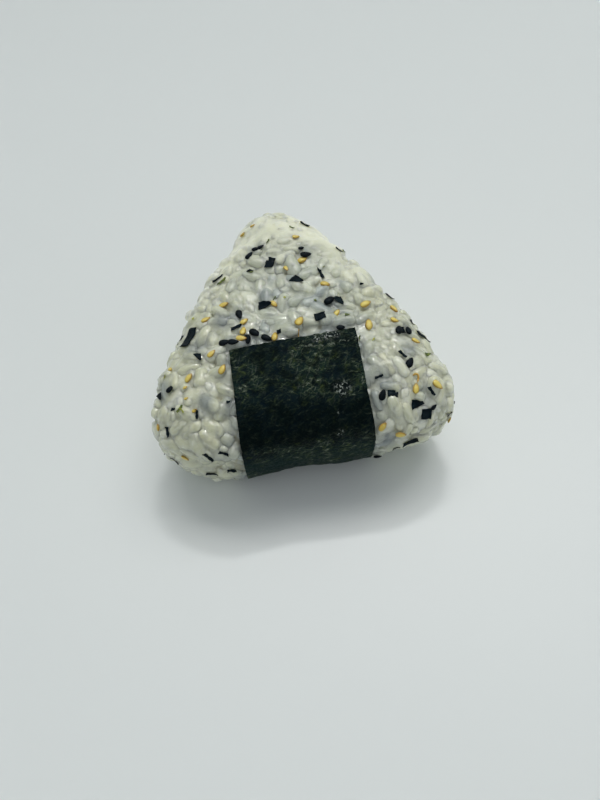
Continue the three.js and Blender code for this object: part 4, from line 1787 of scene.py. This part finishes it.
class RICE_OT_grains(Operator):
    """Make the cooked grains on the outside"""

    bl_idname = "rice.grains"
    bl_label = "Grains"
    DENT_SIZE = 0.0021

    def execute(self, context):
        settings = context.scene.rice_grains
        material = rice_material("cooked_rice", GRAIN_SPREAD)
        dent = settings.unevenness * 2.0
        spots = grain_spots()
        grains = scattered_piece("rice_grains", spots, grain_shapes(settings), material, dent, self.DENT_SIZE)
        keep_over_table(grains)
        add_rice_values(grains, points_of(grains))
        finish_piece(grains)
        return {"FINISHED"}


class RICE_OT_seaweed(Operator):
    """Make the seaweed strip"""

    bl_idname = "rice.seaweed"
    bl_label = "Seaweed Strip"

    def execute(self, context):
        points, faces, sheet = strip_mesh(context.scene.rice_strip)
        strip = add_object("seaweed_strip", points, faces, nori_material())
        layer = strip.data.uv_layers.new(name="sheet")
        for corner in strip.data.loops:
            layer.data[corner.index].uv = sheet[corner.vertex_index]
        add_point_values(strip, "glint", [glint_share(*place) for place in sheet])
        shade_smooth(strip)
        finish_piece(strip, STRIP_NODE)
        return {"FINISHED"}


class RICE_OT_toppings(Operator):
    """Make the seeds, flakes and green bits"""

    bl_idname = "rice.toppings"
    bl_label = "Seeds and Flakes"
    SEED_DENTS = (0.00008, 0.0016)  # height and size, in metres
    FLAKE_DENTS = (0.00012, 0.0022)
    BLACK_GLOSS = 0.12
    FLAKE_GLOSS = 0.08
    FLAKE_THICKNESS = 0.14
    BIT_THICKNESS = 0.1
    # How many lie on the sides that the camera doesn't see.
    HIDDEN = {"white_sesame": 34, "black_sesame": 22, "seaweed_flakes": 40, "green_bits": 18}

    def execute(self, context):
        settings = context.scene.rice_toppings
        self.random = np.random.default_rng(TOPPING_SEED)
        self.view = CameraView(context.scene.rice_stage)
        rice = [bpy.data.objects[name] for name in ("packed_rice", "rice_grains")]
        self.surface = Surface(rice, packed_grains().skin)
        self.seeds("white_sesame", WHITE_SEEDS, settings, white_sesame_material())
        black = dark_material("black_sesame_skin", BLACK_SEED, self.BLACK_GLOSS)
        self.seeds("black_sesame", BLACK_SEEDS, settings, black)
        dark = dark_material("seaweed_flakes", DARK_FLAKE, self.FLAKE_GLOSS)
        scraps = flake_shapes("flake", settings.flake_size / MM, 8)
        self.flakes("seaweed_flakes", DARK_FLAKES, scraps, dark, "nori", self.FLAKE_THICKNESS)
        bits = flake_shapes("bit", settings.bit_size / MM, 4)
        self.flakes("green_bits", GREEN_BITS, bits, green_material(), "green_flake", self.BIT_THICKNESS)
        self.strands()
        return {"FINISHED"}

    def spots(self, name, rows, variants):
        """Where one kind goes: the listed places, and others on the sides that the camera doesn't see."""
        seen = seen_spots(self.view, self.surface, rows, self.random, variants)
        return seen + unseen_spots(self.view, self.surface, self.HIDDEN[name], self.random, variants)

    def seeds(self, name, rows, settings, material):
        """One kind of seed."""
        half_length = settings.seed_length / MM / 2.0
        half_width = settings.seed_width / MM / 2.0
        spots = self.spots(name, rows, len(SEED_PROFILES))
        spots = seeds_at_rest(self.surface, spots, half_length, half_width)
        piece = scattered_piece(name, spots, seed_shapes(name, settings), material, *self.SEED_DENTS)
        keep_over_table(piece)
        finish_piece(piece)

    def flakes(self, name, rows, shapes, material, slot, thickness):
        """One kind of flake. The last shape, the long one, lies only at listed places."""
        spots = self.spots(name, rows, len(FLAKE_CORNERS) - 1)
        piece = scattered_piece(name, spots, shapes, material, *self.FLAKE_DENTS)
        drape(piece, self.surface, thickness / 2.0 + SCRAP_LIFT)
        keep_over_table(piece, thickness)
        thicken(piece, thickness)
        finish_piece(piece)

    def strands(self):
        """The thin curled strands, one piece."""
        points = []
        faces = []
        for column, row, radius, path in STRANDS:
            place, normal = self.surface.hit(self.view.origin / MM, self.view.direction(column, row))
            up = Vector(normal)
            across = (self.view.right - up * self.view.right.dot(up)).normalized()
            along = up.cross(across)
            centres = []
            for x, y in smooth_path(path, 20):
                flat = Vector(place) + across * x + along * y
                centres.append(flat + up * (self.surface.height(flat, up) + 0.8 * radius))
            add_tube(points, faces, soft_line(centres), up, radius)
        piece = add_object("golden_strands", points, faces, strand_material())
        shade_smooth(piece)
        finish_piece(piece)


def smooth_path(corners, steps):
    """A soft curve through a few places."""
    corners = np.array(corners)
    spread = np.linspace(0.0, len(corners) - 1.0, steps)
    line = np.stack([np.interp(spread, np.arange(len(corners)), corners[:, axis]) for axis in (0, 1)], axis=1)
    for _ in range(2):
        line[1:-1] = 0.25 * line[:-2] + 0.5 * line[1:-1] + 0.25 * line[2:]
    return line


def soft_line(centres):
    """The same line with its bumps evened out."""
    for _ in range(3):
        triples = zip(centres, centres[1:], centres[2:])
        inner = [(before + here * 2.0 + after) / 4.0 for before, here, after in triples]
        centres = [centres[0], *inner, centres[-1]]
    return centres


def add_tube(points, faces, centres, up, radius, around=7):
    """A thin round strand along a line, with pointed ends."""
    start = len(points)
    last = len(centres) - 1
    for step, centre in enumerate(centres):
        ahead = (centres[min(last, step + 1)] - centres[max(0, step - 1)]).normalized()
        side = ahead.cross(up).normalized()
        rise = ahead.cross(side)
        narrow = radius * (1.0 - 0.8 * abs(2.0 * step / last - 1.0) ** 4)
        for turn in range(around):
            angle = 2.0 * math.pi * turn / around
            points.append(centre + (side * math.cos(angle) + rise * math.sin(angle)) * narrow)
    for step in range(last):
        for turn in range(around):
            here = start + step * around + turn
            after = start + step * around + (turn + 1) % around
            faces.append((here, after, after + around, here + around))
    faces.append(tuple(start + turn for turn in reversed(range(around))))
    faces.append(tuple(start + last * around + turn for turn in range(around)))


# Each light's name, place in metres, size, power and colour.
LIGHTS = (
    ("back_window", (0.40, 1.10, 1.34), 1.9, 37.0, (1.0, 0.985, 0.96)),
    ("window_pane", (0.25, 1.00, 1.50), 0.32, 18.0, (1.0, 1.0, 1.0)),
    ("front_fill", (0.4, -1.4, 0.9), 1.4, 0.7, (0.95, 0.98, 1.0)),
)
LIGHT_TARGET = Vector((0.0, 0.0, 0.02))
WORLD_COLOUR = (0.86, 0.90, 0.93, 1.0)
WORLD_STRENGTH = 0.50
# The floor and the backdrop behind it, in metres.
FLOOR_HALF_WIDTH = 1.6
FLOOR_FRONT = -1.2
FLOOR_BACK = 0.55
BEND_RADIUS = 0.3
BACKDROP_TOP = 1.4


class RICE_OT_stage(Operator):
    """Make the table, the light and the camera"""

    bl_idname = "rice.stage"
    bl_label = "Stage"

    def execute(self, context):
        settings = context.scene.rice_stage
        self.table(settings)
        self.camera(settings)
        for light in LIGHTS:
            self.area_light(*light)
        context.scene.view_settings.view_transform = "Standard"
        world = bpy.data.worlds.new("studio")
        world.use_nodes = True
        background = world.node_tree.nodes["Background"]
        background.inputs["Color"].default_value = WORLD_COLOUR
        background.inputs["Strength"].default_value = WORLD_STRENGTH
        context.scene.world = world
        return {"FINISHED"}

    def table(self, settings):
        """A flat floor that bends up into a backdrop, far behind."""
        profile = [(FLOOR_FRONT, 0.0), (FLOOR_BACK, 0.0)]
        for angle in np.linspace(0.1, math.pi / 2.0, 12):
            y = FLOOR_BACK + BEND_RADIUS * math.sin(angle)
            profile.append((y, BEND_RADIUS - BEND_RADIUS * math.cos(angle)))
        profile.append((FLOOR_BACK + BEND_RADIUS, BACKDROP_TOP))
        points = [(x, y, z) for y, z in profile for x in (-FLOOR_HALF_WIDTH, FLOOR_HALF_WIDTH)]
        faces = [(2 * i, 2 * i + 1, 2 * i + 3, 2 * i + 2) for i in range(len(profile) - 1)]
        floor = add_object("table", points, faces, floor_material(settings.floor_color), scale=1.0)
        shade_smooth(floor)

    def camera(self, settings):
        """The camera, whose view is taller than it is wide."""
        data = bpy.data.cameras.new("view")
        data.lens = settings.lens
        data.sensor_width = CameraView.SENSOR
        data.sensor_fit = "AUTO"
        data.clip_start = 0.01
        camera = bpy.data.objects.new("view", data)
        camera.matrix_world = CameraView(settings).matrix()
        bpy.context.scene.collection.objects.link(camera)
        bpy.context.scene.camera = camera

    def area_light(self, name, place, size, power, colour):
        """A soft square light that looks at the rice ball."""
        data = bpy.data.lights.new(name, "AREA")
        data.size = size
        data.energy = power
        data.color = colour
        light = bpy.data.objects.new(name, data)
        light.location = place
        light.rotation_euler = (LIGHT_TARGET - Vector(place)).to_track_quat("-Z", "Y").to_euler()
        bpy.context.scene.collection.objects.link(light)


class RICE_PT_panel(Panel):
    """The buttons and settings of the rice ball"""

    bl_idname = "RICE_PT_panel"
    bl_label = "Rice Ball"
    bl_space_type = "VIEW_3D"
    bl_region_type = "UI"
    bl_category = "Rice Ball"

    def draw(self, context):
        for operator in OPERATORS:
            self.layout.operator(operator.bl_idname)
        for name, group in SETTINGS.items():
            box = self.layout.box()
            for label in group.__annotations__:
                box.prop(getattr(context.scene, name), label)


OPERATORS = (RICE_OT_stage, RICE_OT_core, RICE_OT_grains, RICE_OT_toppings, RICE_OT_seaweed)
SETTINGS = {
    "rice_body": BodySettings,
    "rice_grains": GrainSettings,
    "rice_strip": StripSettings,
    "rice_toppings": ToppingSettings,
    "rice_stage": StageSettings,
}
CLASSES = (*SETTINGS.values(), *OPERATORS, RICE_PT_panel)


def register():
    """Makes the settings, operators and panel known to Blender."""
    for item in CLASSES:
        bpy.utils.register_class(item)
    for name, group in SETTINGS.items():
        setattr(bpy.types.Scene, name, PointerProperty(type=group))


def unregister():
    """Takes them out again."""
    for name in SETTINGS:
        delattr(bpy.types.Scene, name)
    for item in reversed(CLASSES):
        bpy.utils.unregister_class(item)


def main():
    """Registers the add-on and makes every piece."""
    register()
    bpy.ops.rice.stage()
    bpy.ops.rice.grains()
    bpy.ops.rice.core()
    bpy.ops.rice.toppings()
    bpy.ops.rice.seaweed()


if __name__ == "__main__":
    main()
